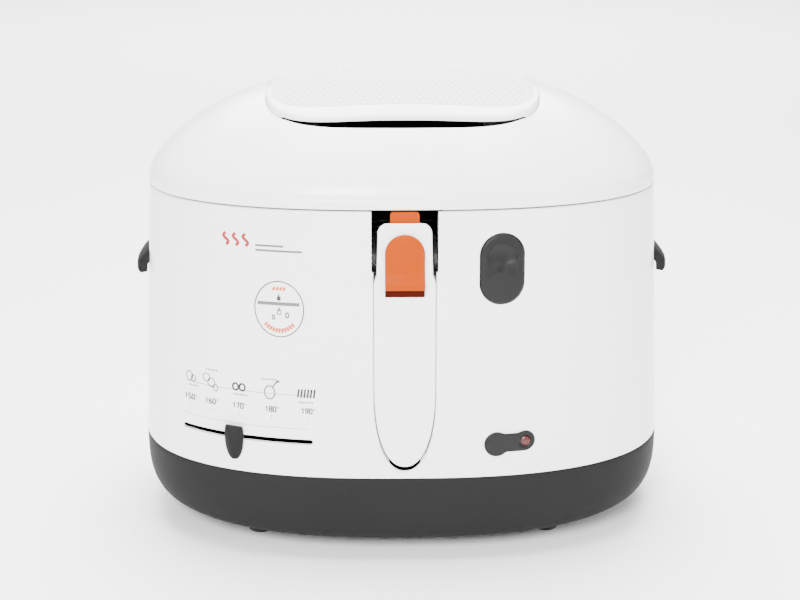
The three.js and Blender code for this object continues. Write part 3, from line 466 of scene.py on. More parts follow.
def skirt_rows(v, wall):
    """Oval rows of the skirt: v runs from 0 at the seam to 1 underneath, and the wall
    draws in by 1 - (1 - v^p)^(1/p) of the roll."""
    roll = SKIRT_ROLL * (1 - (1 - v ** SKIRT_POWER) ** (1 / SKIRT_POWER))
    z = (SEAM - 0.35) * (1 - v) + (SKIRT_BOTTOM + wall) * v
    return oval(LOW[0] - wall - roll, LOW[1] - wall - roll * SKIRT_ROLL_DEPTH, z)


down = np.sin(np.linspace(0, np.pi / 2, 48)) ** 0.8
edge = oval(LOW[0] - 0.25, LOW[1] - 0.25, SEAM - 0.3)
skirt = np.concatenate([
    skirt_rows(down[::-1], 0)[:-1],
    skirt_rows(np.array([0.012]), 0),
    edge,
    skirt_rows(down, 3),
])
piece("base_skirt_tub", shell(skirt), "casing", "charcoal_plastic", CHARCOAL, "base_skirt")

# ---- Feet and cord gland ---------------------------------------------------
# Moulded rubber feet with a countersunk steel screw in each, and the empty rubber grommet
# at the back where a mains lead would come in.
RUBBER = finish("black_rubber_matt", (0.022, 0.022, 0.023), 0.8, 1200, 0.3, mottle=0.2)
FOOT_PROFILE = [(4.2, 0.05), (7.2, 0.05), (7.9, 0.3), (8.2, 0.9), (8.9, 9.4), (8.9, 10.1),
                (2.2, 10.1), (2.2, 5), (4.2, 5)]
for i in range(1, 5):
    low, high = (np.array(v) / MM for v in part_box(f"foot_{i}"))
    middle = (low + high) / 2
    ring = turned(FOOT_PROFILE + FOOT_PROFILE[:1], (middle[0], middle[1], 0))
    piece(f"rubber_foot_{i}", ring, "casing", "black_rubber", RUBBER, f"foot_{i}")

low, high = (np.array(v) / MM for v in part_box("cord_gland"))
gland_centre = (0, 0, (low[2] + high[2]) / 2)
GLAND_PROFILE = [(3.5, low[1]), (9, low[1]), (9, low[1] + 3), (7, low[1] + 4), (7, high[1] - 1.2),
                 (6.6, high[1] - 0.3), (6, high[1]), (4.2, high[1]), (3.6, high[1] - 0.5), (3.5, low[1])]
gland = turned(GLAND_PROFILE, gland_centre, "y")
piece("rubber_gland", gland, "casing", "black_rubber", RUBBER, "cord_gland")

# ---- Side grips ------------------------------------------------------------
# Charcoal ledges screwed on from inside, one on each side, hollow underneath for the
# fingertips. Their tops slope so that they shed drips.
GRIP_HALF_LENGTH = 36.0
grip_section = np.array([
    (0.35, 182.6), (3.9, 179.2), (6.8, 175.9), (7.6, 174.4), (7.8, 173), (7.8, 169.4),
    (7.3, 167.8), (6.4, 166.9), (5.6, 167.2), (5.4, 172), (4.4, 174.6), (0.35, 175.2)])
for side, name in ((-1, "left"), (1, "right")):
    across = np.linspace(-1, 1, 49)
    y = GRIP_HALF_LENGTH * across
    rounding = (1 - np.abs(across) ** 14) ** (1 / 3)
    out = grip_section[:, 0][None, :] * (0.25 + 0.75 * rounding[:, None])
    z = 175 + (grip_section[:, 1][None, :] - 175) * (0.8 + 0.2 * rounding[:, None])
    a, b = body_half(z)
    x = side * (a * (1 - np.abs(y[:, None] / b) ** OVAL_POWER) ** (1 / OVAL_POWER) + out)
    rows = np.stack([x, np.broadcast_to(y[:, None], x.shape), z], axis=-1)
    piece(f"side_grip_{name}_cap", shell(rows), "casing", "charcoal_plastic", CHARCOAL,
          f"side_grip_{name}", crease=50)

# ---- Collar and bowl -------------------------------------------------------
# The white collar lines the mouth from the bowl's flange up to the rim. The bowl is a
# deep-drawn metal pot with a dark non-stick coating.
COLLAR = np.array([150.0, 104.0])
BOWL = np.array([140.0, 94.0])
BOWL_RIM = 183.0
BOWL_FLOOR = 97.0


def offset_rows(half, profile, power=OVAL_POWER):
    """Oval rows from a profile of offsets from a half size and heights."""
    out, z = np.array(profile, float).T
    return oval(half[0] + out, half[1] + out, z, power)


rim_out = body_half(RIM - 1)[0] - COLLAR[0] - 2.8
COLLAR_PROFILE = [
    (0, BOWL_RIM + 0.3), (2.5, BOWL_RIM + 0.3), (2.5, RIM - 3.5), (rim_out, RIM - 3.5),
    (rim_out, RIM - 0.8), (1.6, RIM - 0.8), (0.5, RIM - 1.2), (0, RIM - 2.4)]
collar_part = shell(offset_rows(COLLAR, COLLAR_PROFILE), wrap_rows=True)
collar = bare_object("inner_collar_ring", collar_part)
frame_seat = block((-NOTCH_HALF - 2.9, -150, SILL), (NOTCH_HALF + 2.9, NOTCH_BACK + 0.2, RIM + 5))
cut(
    collar,
    block((-NOTCH_HALF, -150, SILL), (NOTCH_HALF, -60, RIM + 5)),
    block((53, -107, 218), (66, -102.4, 240)),
    frame_seat,
)
settle(collar, "casing", "white_plastic", WHITE, "inner_collar")

COATING = finish("non_stick_coating", (0.03, 0.03, 0.032), 0.36, 2600, 0.5, mottle=0.35)
bowl_outside = [(-22, 95.5), (-16, 95.7), (-9, 98), (-4, 103), (-1.5, 111), (0, 140),
                (1.5, BOWL_RIM - 1.5)]
bowl_flange = [(12, BOWL_RIM - 1.5), (12.3, BOWL_RIM - 0.8), (12, BOWL_RIM), (1.2, BOWL_RIM),
               (0.3, BOWL_RIM - 0.5), (0, BOWL_RIM - 1.6)]
bowl_inside = [(-1.5, 140), (-3, 112), (-5.5, 104), (-10, 99.5), (-16, 97.4), (-22, BOWL_FLOOR)]
bowl_rows = offset_rows(BOWL, bowl_outside + bowl_flange + bowl_inside, 2.6)
piece("fry_bowl", shell(bowl_rows), "casing", "non_stick", COATING, "bowl")

# ---- Basket ----------------------------------------------------------------
# A basket of bright round wire: upright wires and hoops spot-welded to a thick rim hoop,
# and a square net for the floor.
STEEL = finish("bright_steel", (0.56, 0.565, 0.575), 0.3, 500, 0.15, metallic=1.0, mottle=0.1)
BASKET = np.array([128.6, 86.5])
BASKET_RIM = 174.6
BASKET_FLOOR = 101.2
WIRE = 0.5
RIM_WIRE = 1.4
NET_STEP = 4.6
BASKET_POWER = 2.6


def wires(paths, radius, closed, sides=5):
    """Round wires along many paths at once: a ring of points about each path point, in
    the plane square to the path."""
    paths = np.asarray(paths, float)
    if closed:
        tangent = np.roll(paths, -1, axis=1) - np.roll(paths, 1, axis=1)
    else:
        tangent = np.gradient(paths, axis=1)
    tangent /= np.linalg.norm(tangent, axis=-1, keepdims=True)
    helper = np.where(np.abs(tangent[..., 2:3]) > 0.8, [1.0, 0.0, 0.0], [0.0, 0.0, 1.0])
    normal = np.cross(tangent, helper)
    normal /= np.linalg.norm(normal, axis=-1, keepdims=True)
    other = np.cross(tangent, normal)
    angle = 2 * np.pi * np.arange(sides) / sides
    ring = normal[:, :, None] * np.cos(angle)[:, None] + other[:, :, None] * np.sin(angle)[:, None]
    points = paths[:, :, None] + radius * ring
    return joined(*(shell(p, wrap_rows=closed) for p in points))


hoop_heights = np.linspace(BASKET_FLOOR + 9, BASKET_RIM - 4, 15)
draw_in = 5 * (BASKET_RIM - hoop_heights) / (BASKET_RIM - BASKET_FLOOR)
hoops = oval(BASKET[0] - draw_in, BASKET[1] - draw_in, hoop_heights, BASKET_POWER, 168)
post_profile = [(0, BASKET_RIM), (-2, 145), (-4.2, 112), (-6.5, 105), (-11, 101.8),
                (-18, BASKET_FLOOR)]
posts = offset_rows(BASKET, post_profile, BASKET_POWER)[:, ::2].transpose(1, 0, 2)
floor_half = BASKET - 12


def net(step, half_along, half_across, swap):
    """Straight floor wires, each cut to the width that the oval leaves it."""
    place = np.arange(-half_across + step, half_across - 1, step)
    reach = half_along * (1 - np.abs(place / half_across) ** BASKET_POWER) ** (1 / BASKET_POWER)
    ends = np.linspace(-1, 1, 3)[None, :] * reach[:, None]
    still = np.broadcast_to(place[:, None], ends.shape)
    level = np.full(ends.shape, BASKET_FLOOR + (0.9 if swap else 0.0))
    return np.stack([still, ends, level] if swap else [ends, still, level], axis=-1)


basket_wires = joined(
    wires(hoops, WIRE, True),
    wires(posts, WIRE, False),
    wires(net(NET_STEP, floor_half[0], floor_half[1], False), WIRE, False),
    wires(net(NET_STEP, floor_half[1], floor_half[0], True), WIRE, False),
    wires(oval(BASKET[0], BASKET[1], BASKET_RIM, BASKET_POWER, 240), RIM_WIRE, True, 12),
)
piece("wire_basket", basket_wires, "basket", "steel", STEEL, "basket", crease=80)

# ---- Folding handle --------------------------------------------------------
# A long white tongue that folds flush into its channel. The front is slightly crowned with
# soft edges, the neck between the cheeks is narrower, and a heel behind the pivot lifts it.
HANDLE_TOP = 220.0
NECK_HALF = 17.25
SHOULDER = 188.0
CORNER = 6.0


def handle_outline(grow):
    """The handle's outline, grown all round: the rounded tip, the sides, the narrower
    neck and two round corners."""
    lower = tongue_outline(GRIP_HALF + grow, TIP_Z - grow, TIP_LENGTH + grow, SHOULDER - 5)[:-1]
    radius = CORNER + grow
    turn = np.linspace(0, np.pi / 2, 10)
    corner_x = NECK_HALF - CORNER + radius * np.cos(turn)
    corner_z = HANDLE_TOP - CORNER + radius * np.sin(turn)
    right = np.vstack([[[NECK_HALF + grow, SHOULDER]], np.stack([corner_x, corner_z], axis=-1)])
    left = right[::-1] * [-1, 1]
    outline = np.vstack([lower, right, left, [[-GRIP_HALF - grow, SHOULDER - 5]]])
    outline[:, 0] *= 1 - 0.05 * np.clip((outline[:, 1] - 190) / 30, 0, 1)
    return outline


HANDLE_LAYERS = [(-0.8, 9.6), (-0.2, 9.2), (0, 8.4), (0, 1.2), (-0.1, 0.5), (-0.35, 0.05),
                 (-0.8, -0.25), (-1.5, -0.4)]


def skin(outline, spine, layers, front_inset, crown, back_inset):
    """A slab on the casing's face: outline layers from back to front, then the front and
    the back drawn in towards a spine. The spine holds a place for each outline point, so
    that the quads stay even; the front swells by the crown towards it."""
    rows = []
    back = outline(layers[0][0])
    for pull in (0.98, 0.7, 0.4):
        level = np.full(len(spine), back_inset)
        rows.append(np.column_stack([back * (1 - pull) + spine * pull, level]))
    for grow, inset in layers:
        rows.append(np.column_stack([outline(grow), np.full(len(spine), inset)]))
    last = outline(layers[-1][0])
    for pull in (0.08, 0.18, 0.3, 0.45, 0.62, 0.8, 0.98):
        level = np.full(len(spine), front_inset - crown * pull * (2 - pull))
        rows.append(np.column_stack([last * (1 - pull) + spine * pull, level]))
    rows = np.array(rows)
    y = -body_half(rows[..., 1])[1] + rows[..., 2]
    rows[..., 1] -= 0.45 * np.clip(rows[..., 2] - 0.5, 0, 20) * np.clip((rows[..., 1] - 205) / 15, 0, 1)
    return shell(np.stack([rows[..., 0], y, rows[..., 1]], axis=-1))


flat = handle_outline(0)
spine = np.column_stack([0 * flat[:, 0], np.clip(flat[:, 1], TIP_Z + 17, HANDLE_TOP - 14)])
handle_part = skin(handle_outline, spine, HANDLE_LAYERS, -0.42, 0.36, 9.6)
PIVOT = np.array([-116.656, 197.5])
heel_section = PIVOT + np.array([(-1, -5), (22, 3), (24.4, 5), (25, 8), (20, 8), (-1, 5)])
heel_rows = [np.column_stack([np.full(len(heel_section), x), heel_section]) for x in (-11, 11)]
handle_whole = joined(handle_part, shell(np.array(heel_rows)))
piece("folding_handle", handle_whole, "handle", "white_plastic", WHITE, "handle")

# ---- Lock button -----------------------------------------------------------
# An orange slide with an arched top, a thumb ridge that overhangs at its foot, and a flat
# tongue that shows above the handle. Under the ridge, a thin dark orange bar is painted
# shade.
ORANGE = finish("orange_plastic_satin", (0.3, 0.04, 0.0), 0.42, 900, 0.1, mottle=0.04, sheen=0.03)
LOCK_HALF = 12.15
LOCK_TOP = 213.3
LOCK_FACE = 2.2
HANDLE_FACE = 1.15
RIDGE_PROFILE = [
    (178.9, 0.2), (179.3, 3.4), (179.7, 4.5), (180.0, 4.9), (180.6, 5.1), (181.6, 5.1),
    (183.0, 5.05), (184.0, 5.0), (184.6, 4.8), (185.6, 4.3), (188.4, 2.7), (189.4, 2.35),
    (191.0, 2.25), (196.0, LOCK_FACE), (201.2, LOCK_FACE)]
ridge_z, ridge_h = np.array(RIDGE_PROFILE).T
arch = np.linspace(0, 1, 16)[1:] * np.pi / 2
lock_z = np.concatenate([ridge_z, LOCK_TOP - LOCK_HALF + LOCK_HALF * np.sin(arch)])
lock_h = np.concatenate([ridge_h, np.full(len(arch), LOCK_FACE)])
lock_w = np.concatenate([np.full(len(ridge_z), LOCK_HALF), LOCK_HALF * np.cos(arch) + 0.02])


def rounded_bar(half, height, z, radius=0.7):
    """Cross sections of a low bar on the handle's face: up one side, over a rounded
    edge, across the top and down the other side."""
    radius = np.minimum(radius, np.minimum(half, height) * 0.9)
    turn = np.linspace(0, np.pi / 2, 5)
    xs = np.concatenate([-half[:, None] + radius[:, None] * (1 - np.cos(turn)),
                         half[:, None] - radius[:, None] * (1 - np.cos(turn[::-1]))], axis=1)
    hs = np.concatenate([height[:, None] - radius[:, None] * (1 - np.sin(turn)),
                         height[:, None] - radius[:, None] * (1 - np.sin(turn[::-1]))], axis=1)
    xs = np.hstack([-half[:, None], xs, half[:, None]])
    hs = np.hstack([np.zeros((len(z), 1)), hs, np.zeros((len(z), 1))])
    zs = np.broadcast_to(z[:, None], xs.shape)
    y = -body_half(zs)[1] - HANDLE_FACE - hs
    return np.stack([xs, y, zs], axis=-1)


tab_outline = np.array([(-8.9, 205), (8.9, 205), (8.9, 224.6), (8.4, 226), (7.2, 226.4),
                        (-7.2, 226.4), (-8.4, 226), (-8.9, 224.6)])
lock_part = joined(shell(rounded_bar(lock_w, lock_h, lock_z)), face_extrusion(tab_outline, 1.7, 3.6))
piece("lock_button", lock_part, "lock_slider", "orange_plastic", ORANGE, "lock_slider", crease=40)
# Painted shade: a thin dark orange bar at the ridge's foot stands in for the shadow under its overhang.
foot_z = np.array([174.5, 174.7, 175.2, 177.0, 178.4, 179.4])
foot_h = np.array([0.2, 0.6, 0.8, 0.9, 1.1, 1.6])
painted_shade_part = shell(rounded_bar(np.full(len(foot_z), LOCK_HALF), foot_h, foot_z))
PAINTED_SHADE_ORANGE = finish("orange_plastic_painted_shade", (0.045, 0.003, 0.0), 0.5, 900, 0.1,
                       mottle=0.15, sheen=0.04)
piece("lock_button_painted_shade", painted_shade_part, "lock_slider", "orange_plastic", PAINTED_SHADE_ORANGE)

# ---- Release button --------------------------------------------------------
# A charcoal push button with a round finger dimple in its upper half, set in a close hole.
SATIN_CHARCOAL = finish("charcoal_plastic_satin", (0.0098, 0.0098, 0.01), 0.42, 900, 0.05,
                        mottle=0.1, sheen=0.14)
DIMPLE = np.array([BUTTON_CENTRE[0] + 0.3, BUTTON_CENTRE[1] + 7.4])
DIMPLE_RADIUS = 9.6
DIMPLE_DEPTH = 3.8
CAP_BACK = 2.4
CAP_PROUD = 0.8
CAP_CROWN = 0.9
reach = np.concatenate([[1.0, 1.0, 0.993, 0.975, 0.95], np.linspace(0.9, 0.01, 90)])
sink = np.concatenate([[CAP_BACK, 0.9, 0.1, -0.45, -0.7], np.full(90, -CAP_PROUD)])[:, None]
edge_outline = stadium(BUTTON_HALF, BUTTON_HALF_HEIGHT, BUTTON_CENTRE, 200) - BUTTON_CENTRE
spots = BUTTON_CENTRE + reach[:, None, None] * edge_outline[None]
away = np.linalg.norm(spots - DIMPLE, axis=-1) / DIMPLE_RADIUS
on_face = reach[:, None] < 0.96
bowl_in = DIMPLE_DEPTH * np.clip(1 - away ** 2, 0, 1) ** 0.8 * on_face
crown = CAP_CROWN * (1 - reach[:, None] ** 2) * on_face
button_y = front(spots[..., 0], spots[..., 1]) + np.minimum(sink - crown + bowl_in, CAP_BACK)
button_points = np.stack([spots[..., 0], button_y, spots[..., 1]], axis=-1)
piece("release_button_cap", shell(button_points), "release_button", "charcoal_plastic",
      SATIN_CHARCOAL, "release_button", crease=75)

# ---- Temperature knob ------------------------------------------------------
# A small charcoal pointer that straddles the slot: a flat head above, a keel down the
# middle and a narrow toe below.
joints = {joint["name"]: joint for joint in frame["record"]["behaviour"]["joints"]}
spindle = np.array(joints["temperature_turn"]["pos_m"][:2]) / MM
KNOB_X = -107.2
KNOB_GAP = 1.3
KNOB_PROFILE = [
    (65.2, 1.2, 1.0), (65.5, 2.2, 2.0), (66.5, 3.2, 3.1), (69.0, 4.6, 4.4), (73.0, 5.9, 5.3),
    (77.0, 6.4, 5.9), (80.0, 6.5, 6.0), (83.0, 6.5, 5.8), (85.5, 6.4, 5.3), (86.9, 6.1, 4.8),
    (87.4, 5.6, 4.2), (87.5, 4.8, 3.4)]
knob_z, knob_half, knob_tall = np.array(KNOB_PROFILE).T[..., None]
toward = np.array([KNOB_X, front(KNOB_X, SLOT_Z)]) - spindle
knob_radius = np.linalg.norm(toward)
toward = toward / knob_radius
aside = np.array([-toward[1], toward[0]])
lap = np.linspace(-1, 1, 21)
keel = 0.4 * (1 - np.abs(lap) ** 6) + 0.6 * (1 - np.abs(lap)) ** 0.9
knob_across = knob_half * np.sign(lap) * np.abs(lap) ** 0.8
knob_out = knob_radius + KNOB_GAP + knob_tall * keel
base_row = knob_radius + KNOB_GAP + 0 * knob_tall
knob_across = np.hstack([knob_across, knob_half, -knob_half])
knob_out = np.hstack([knob_out, base_row, base_row])
knob_xy = spindle + knob_out[..., None] * toward + knob_across[..., None] * aside
knob_level = np.broadcast_to(knob_z[..., None], knob_xy.shape[:2] + (1,))
knob_points = np.concatenate([knob_xy, knob_level], axis=-1)
piece("temperature_pointer", shell(knob_points), "temperature_control", "charcoal_plastic",
      CHARCOAL, "temperature_knob", crease=40)

# ---- Pilot light -----------------------------------------------------------
# A glossy charcoal bezel of two joined lobes. The right one holds a small red lens over
# the neon lamp. The lens carries a faint painted glow.
LOBES = [(57.6, 78.4, 7.9), (75.6, 79.7, 6.6)]
LENS = (75.6, 79.4)
LENS_RADIUS = 3.6
bezel_middle = np.array([66.6, 79.0])
spread = np.linspace(0, 2 * np.pi, 120, endpoint=False)
direction = np.stack([np.cos(spread), np.sin(spread)], axis=-1)
reach_out = 5.9 / np.maximum(np.abs(np.sin(spread)), 0.62)
for lobe_x, lobe_z, lobe_radius in LOBES:
    offset = np.array([lobe_x, lobe_z]) - bezel_middle
    along = direction @ offset
    inside = lobe_radius ** 2 - (offset @ offset - along ** 2)
    reach_out = np.maximum(reach_out, np.where(inside > 0, along + np.sqrt(np.maximum(inside, 0)), 0))
blur = np.array([1, 2, 3, 2, 1]) / 9
reach_out = np.convolve(np.concatenate([reach_out[-2:], reach_out, reach_out[:2]]), blur, "valid")
inner_reach = np.linspace(0.82, 0.03, 24)
bezel_reach = np.concatenate([[1.0, 1.0, 0.985, 0.95, 0.9], inner_reach])
bezel_rise = np.concatenate([[-3.0, 0.3, 0.8, 1.1, 1.25], 1.25 + 0.15 * (1 - inner_reach ** 2)])
bezel_spots = bezel_middle + (bezel_reach[:, None] * reach_out[None])[..., None] * direction[None]
lens_away = np.linalg.norm(bezel_spots - LENS, axis=-1)
seat = 1.1 * np.clip((LENS_RADIUS + 0.9 - lens_away) / 0.9, 0, 1) * (bezel_reach[:, None] < 0.93)
bezel_y = front(bezel_spots[..., 0], bezel_spots[..., 1]) - bezel_rise[:, None] + seat
bezel_points = np.stack([bezel_spots[..., 0], bezel_y, bezel_spots[..., 1]], axis=-1)
GLOSS_CHARCOAL = finish("charcoal_plastic_gloss", (0.0125, 0.0125, 0.0127), 0.42, 900, 0.05,
                        mottle=0.1, sheen=0.12)
piece("lamp_bezel_cap", shell(bezel_points), "casing", "charcoal_plastic", GLOSS_CHARCOAL,
      "lamp_bezel", crease=50)
RED = finish("red_lens_painted_glow", (0.05, 0.0, 0.0), 0.3, 300, 0.05, mottle=0.3)
# Painted glow: a faint red emission makes the lens look lit, though it is no lamp.
red_shader = RED.node_tree.nodes["Principled BSDF"]
red_shader.inputs["Emission Color"].default_value = (0.5, 0.0, 0.01, 1)
red_shader.inputs["Emission Strength"].default_value = 0.08
lens_front = float(front(LENS[0], LENS[1])) - 1.3
lens_profile = [(0.05, lens_front - 0.1), (1.2, lens_front), (2.4, lens_front + 0.35),
                (3.2, lens_front + 0.9), (3.6, lens_front + 1.8), (3.6, lens_front + 8)]
lens_dome = turned(lens_profile, (LENS[0], 0, LENS[1]), "y")
piece("lamp_lens_dome", lens_dome, "casing", "red_lens", RED, "lamp_lens")

# ---- Lid -------------------------------------------------------------------
# A white moulded dome with an upright band round its foot. The rear lug carries the
# hinge pin, and the crown is open for the filter cover and the steam slot.
BAND = 6.96
DOME_HEIGHT = 65.0
RISE_POWER = 1.376
SHRINK_POWER = 2.367
CROWN_POWER = 2.15
LID_FOOT = RIM + 0.4
LID_WALL = 3.0
COVER = np.array([88.0, 72.0])
COVER_Y = -12.0
COVER_POWER = 4.3
SLOT_REACH = 75.5
SLOT_DEPTH = 8.0


def dome_rows(u, inset):
    """Oval rows of the dome: u is 0 on the band and 1 at the crown; the oval shrinks as
    (1 - u^p)^(1/q) and grows rounder."""
    shrink = (1 - u ** RISE_POWER) ** (1 / SHRINK_POWER)
    power = OVAL_POWER + (CROWN_POWER - OVAL_POWER) * u
    z = RIM + BAND + DOME_HEIGHT * u - inset * u
    return oval((TOP[0] - inset) * shrink, (TOP[1] - inset) * shrink, z, power)


def dome_height(x, y):
    """Height of the dome's outside over a place, by halving the range of u until the
    oval at u passes through it."""
    low_u, high_u = np.zeros(np.shape(x)), np.ones(np.shape(x))
    for _ in range(40):
        u = (low_u + high_u) / 2
        shrink = np.maximum((1 - u ** RISE_POWER), 1e-12) ** (1 / SHRINK_POWER)
        power = OVAL_POWER + (CROWN_POWER - OVAL_POWER) * u
        inside = np.abs(x / (TOP[0] * shrink)) ** power + np.abs(y / (TOP[1] * shrink)) ** power < 1
        low_u = np.where(inside, u, low_u)
        high_u = np.where(inside, high_u, u)
    return RIM + BAND + DOME_HEIGHT * low_u


def cover_edge(x, grow=0.0):
    """Depth of the cover's front edge at a place across it."""
    half = COVER[0] + grow
    return COVER_Y - (COVER[1] + grow) * (1 - np.abs(x / half) ** COVER_POWER) ** (1 / COVER_POWER)


def plan_cutter(outline):
    """An outline in x and y as an upright solid through the crown."""
    rows = [np.column_stack([outline, np.full(len(outline), z)]) for z in (RIM + 20, RIM + 100)]
    return shell(np.array(rows))


def cover_plan(grow, count=160):
    """Plan of the filter cover, grown all round."""
    return oval(COVER[0] + grow, COVER[1] + grow, 0, COVER_POWER, count)[0, :, :2] + [0, COVER_Y]


rise = 1 - (1 - np.linspace(0, 1, 70)) ** 1.35
rise[-1] = 0.9995
band_profile = [
    (LID_WALL, LID_FOOT), (1.0, LID_FOOT), (0.3, LID_FOOT + 0.35), (0.0, LID_FOOT + 1.2),
    (-0.25, LID_FOOT + 3.2), (-0.1, RIM + BAND - 1.2), (0.12, RIM + BAND - 0.5),
    (0.5, RIM + BAND - 0.1)]
inset, z = np.array(band_profile).T
band_rows = oval(TOP[0] - inset, TOP[1] - inset, z)
outside = dome_rows(rise, 0.0)
blend_in = 0.55 * np.exp(-rise / 0.035)
outside[..., :2] *= (1 - blend_in / TOP[1])[:, None, None]
outside = outside[1:]
inside = dome_rows(rise, LID_WALL)[::-1]
lid = bare_object("lid_dome", shell(np.concatenate([inside, band_rows, outside])))
across = np.linspace(-1, 1, 41)
slot_x = SLOT_REACH * across
slot_y = cover_edge(slot_x) - SLOT_DEPTH * (1 - across ** 2) - 0.1
slot_back = [[SLOT_REACH, COVER_Y - 30], [-SLOT_REACH, COVER_Y - 30]]
slot_plan = np.vstack([np.column_stack([slot_x, slot_y]), slot_back])
cut(lid, plan_cutter(cover_plan(0.4)), plan_cutter(slot_plan))
settle(lid, "lid", "white_plastic", WHITE, "lid_shell")
lug_section = np.array([
    (118.5, LID_FOOT + 0.3), (HINGE_Y - 2.5, LID_FOOT), (HINGE_Y - 2, HINGE_Z),
    (HINGE_Y + 4.0, HINGE_Z), (HINGE_Y + 3.6, LID_FOOT + 1.4), (HINGE_Y + 1, LID_FOOT + 4.2),
    (119.5, LID_FOOT + 6)])
lug_ends = (-LUG_HALF + 0.2, LUG_HALF - 0.2)
lug_rows = [np.column_stack([np.full(len(lug_section), x), lug_section]) for x in lug_ends]
lug_part = joined(barrel(-LUG_HALF, LUG_HALF), shell(np.array(lug_rows)))
piece("lid_lug", lug_part, "lid", "white_plastic", WHITE)

# ---- Filter cover ----------------------------------------------------------
# A white panel in the crown with a smooth raised lip along its front, over the steam slot,
# and a field of fine moulded pips behind it. The ground between the pips is painted grey as
# shade.
LIP = 10.5
FIELD_RISE = 0.35
LIP_RISE = 0.95
END_RISE = 3.4
PIP_PITCH = 4.2
PIP_RADIUS = 1.15
PIP_HEIGHT = 0.55


def edge_behind(x):
    """The cover's front edge at a place across it, held within the cover's width."""
    return cover_edge(np.clip(x, -COVER[0] * 0.999, COVER[0] * 0.999))


def cover_height(x, y):
    """Dome height plus the cover's rise: 0.35 mm on the field, 1.3 mm on the lip, and more
    towards the lip's two ends, so that the lip runs level."""
    behind = y - edge_behind(x)
    lip = np.clip((LIP - behind) / 2.5, 0, 1)
    lip = lip * lip * (3 - 2 * lip)
    lift = END_RISE * np.clip(np.abs(x) / 80, 0, 1) ** 2 * np.clip((34 - behind) / 30, 0, 1) ** 2
    return dome_height(x, y) + FIELD_RISE + (LIP_RISE * lip + lift) * (y < COVER_Y)


rim_steps = np.array([0.0, 0.002, 0.006, 0.012, 0.02, 0.032, 0.05])
inward = np.concatenate([1 - rim_steps, np.linspace(0.93, 0.01, 60)])
edge_drop = np.concatenate([[1.3, 0.75, 0.4, 0.18, 0.06, 0.0, 0.0], np.zeros(60)])
plan = oval(COVER[0], COVER[1], 0, COVER_POWER, 320)[0, :, :2]
plan_points = inward[:, None, None] * plan[None] + [0, COVER_Y]
x, y = plan_points[..., 0], plan_points[..., 1]
top_side = np.stack([x, y, cover_height(x, y) - edge_drop[:, None]], axis=-1)
under = top_side[:1].copy()
shut = np.clip((np.abs(under[..., 0]) - 75) / 4, 0, 1)
seat = np.minimum(under[..., 2] - 2.0, dome_height(under[..., 0], under[..., 1]) - 1.5)
under[..., 2] = (under[..., 2] - 2.0) * (1 - shut) + seat * shut
under_in = top_side[8::6].copy()
under_in[..., 2] -= 3.2
cover_points = np.concatenate([under_in[::-1], under, top_side])
piece("filter_cover_panel", shell(cover_points), "filter_cover", "white_plastic", WHITE, "filter_cover")

# Painted shade: the white plastic between the pips is coloured grey to stand in for the shade between them.
PIP_FIELD_PAINTED_SHADE = finish("white_plastic_painted_shade_grey", (0.6, 0.6, 0.6), 0.6, 1500, 0.4, mottle=0.05)
field_plan = plan * 0.965 + [0, COVER_Y]
lip_line = edge_behind(field_plan[:, 0]) + LIP
field_plan[:, 1] = np.maximum(field_plan[:, 1], lip_line)
field_middle = np.array([0, COVER_Y + 5.0])
field_spots = field_middle + np.linspace(1, 0.01, 48)[:, None, None] * (field_plan - field_middle)[None]
field_z = cover_height(field_spots[..., 0], field_spots[..., 1]) + 0.05
field_top = np.concatenate([field_spots, field_z[..., None]], axis=-1)
field_low = field_top[:1] - [0, 0, 0.4]
field_part = shell(np.concatenate([field_low, field_top]))
piece("filter_cover_field", field_part, "filter_cover", "white_plastic", PIP_FIELD_PAINTED_SHADE)

lattice = np.arange(-20, 21) * PIP_PITCH
lattice_x, lattice_y = np.meshgrid(lattice, lattice + COVER_Y)
lattice_x = lattice_x + (np.arange(len(lattice))[:, None] % 2) * PIP_PITCH / 2
plan_reach = np.abs(lattice_x / (COVER[0] - 4)) ** COVER_POWER
plan_reach += np.abs((lattice_y - COVER_Y) / (COVER[1] - 4)) ** COVER_POWER
spot_inside = (plan_reach < 1) & (lattice_y - edge_behind(lattice_x) > LIP + 1.5)
pip_x, pip_y = lattice_x[spot_inside], lattice_y[spot_inside]
pip_z = cover_height(pip_x, pip_y)
slope_x = cover_height(pip_x + 0.5, pip_y) - cover_height(pip_x - 0.5, pip_y)
slope_y = cover_height(pip_x, pip_y + 0.5) - cover_height(pip_x, pip_y - 0.5)
turn = 2 * np.pi * np.arange(10) / 10
pip_r = np.array([1.0, 0.92, 0.6, 0.15])[:, None] * PIP_RADIUS
pip_h = np.array([-0.15, 0.26, 0.47, PIP_HEIGHT])[:, None]
local_x, local_y = pip_r * np.cos(turn), pip_r * np.sin(turn)
pips_x, pips_y, pips_z, slope_x, slope_y = (
    v[:, None, None] for v in (pip_x, pip_y, pip_z, slope_x, slope_y))
local_z = pip_h + slope_x * local_x + slope_y * local_y
pips = np.stack([pips_x + local_x, pips_y + local_y, pips_z + local_z], axis=-1)
pip_part = joined(*(shell(p) for p in pips))
piece("filter_cover_pips", pip_part, "filter_cover", "white_plastic", WHITE, crease=60)

# ---- Printed scale and symbols ---------------------------------------------
# Thin pad-printed ink on the casing: a frying scale with five temperatures and foods, a
# round filter symbol and a plain three-wave steam mark. Each stroke is a ribbon on the face.
INK_LIFT = 0.06


def ribbon(points, width):
    """A flat stroke along points in x and z, its edges square to the stroke, laid on the
    casing's face."""
    points = np.asarray(points, float)
    step = np.gradient(points, axis=0)
    step /= np.linalg.norm(step, axis=1, keepdims=True)
    square = np.stack([-step[:, 1], step[:, 0]], axis=-1) * width / 2
    across = np.stack([points + square, points - square], axis=1)
    xs, zs = across[..., 0], across[..., 1]
    return shell(np.stack([xs, front(xs, zs) - INK_LIFT, zs], axis=-1), wrap_columns=False, caps=False)


def line(start, end, width, count=2):
    """A straight stroke."""
    return ribbon(np.linspace(start, end, count), width)


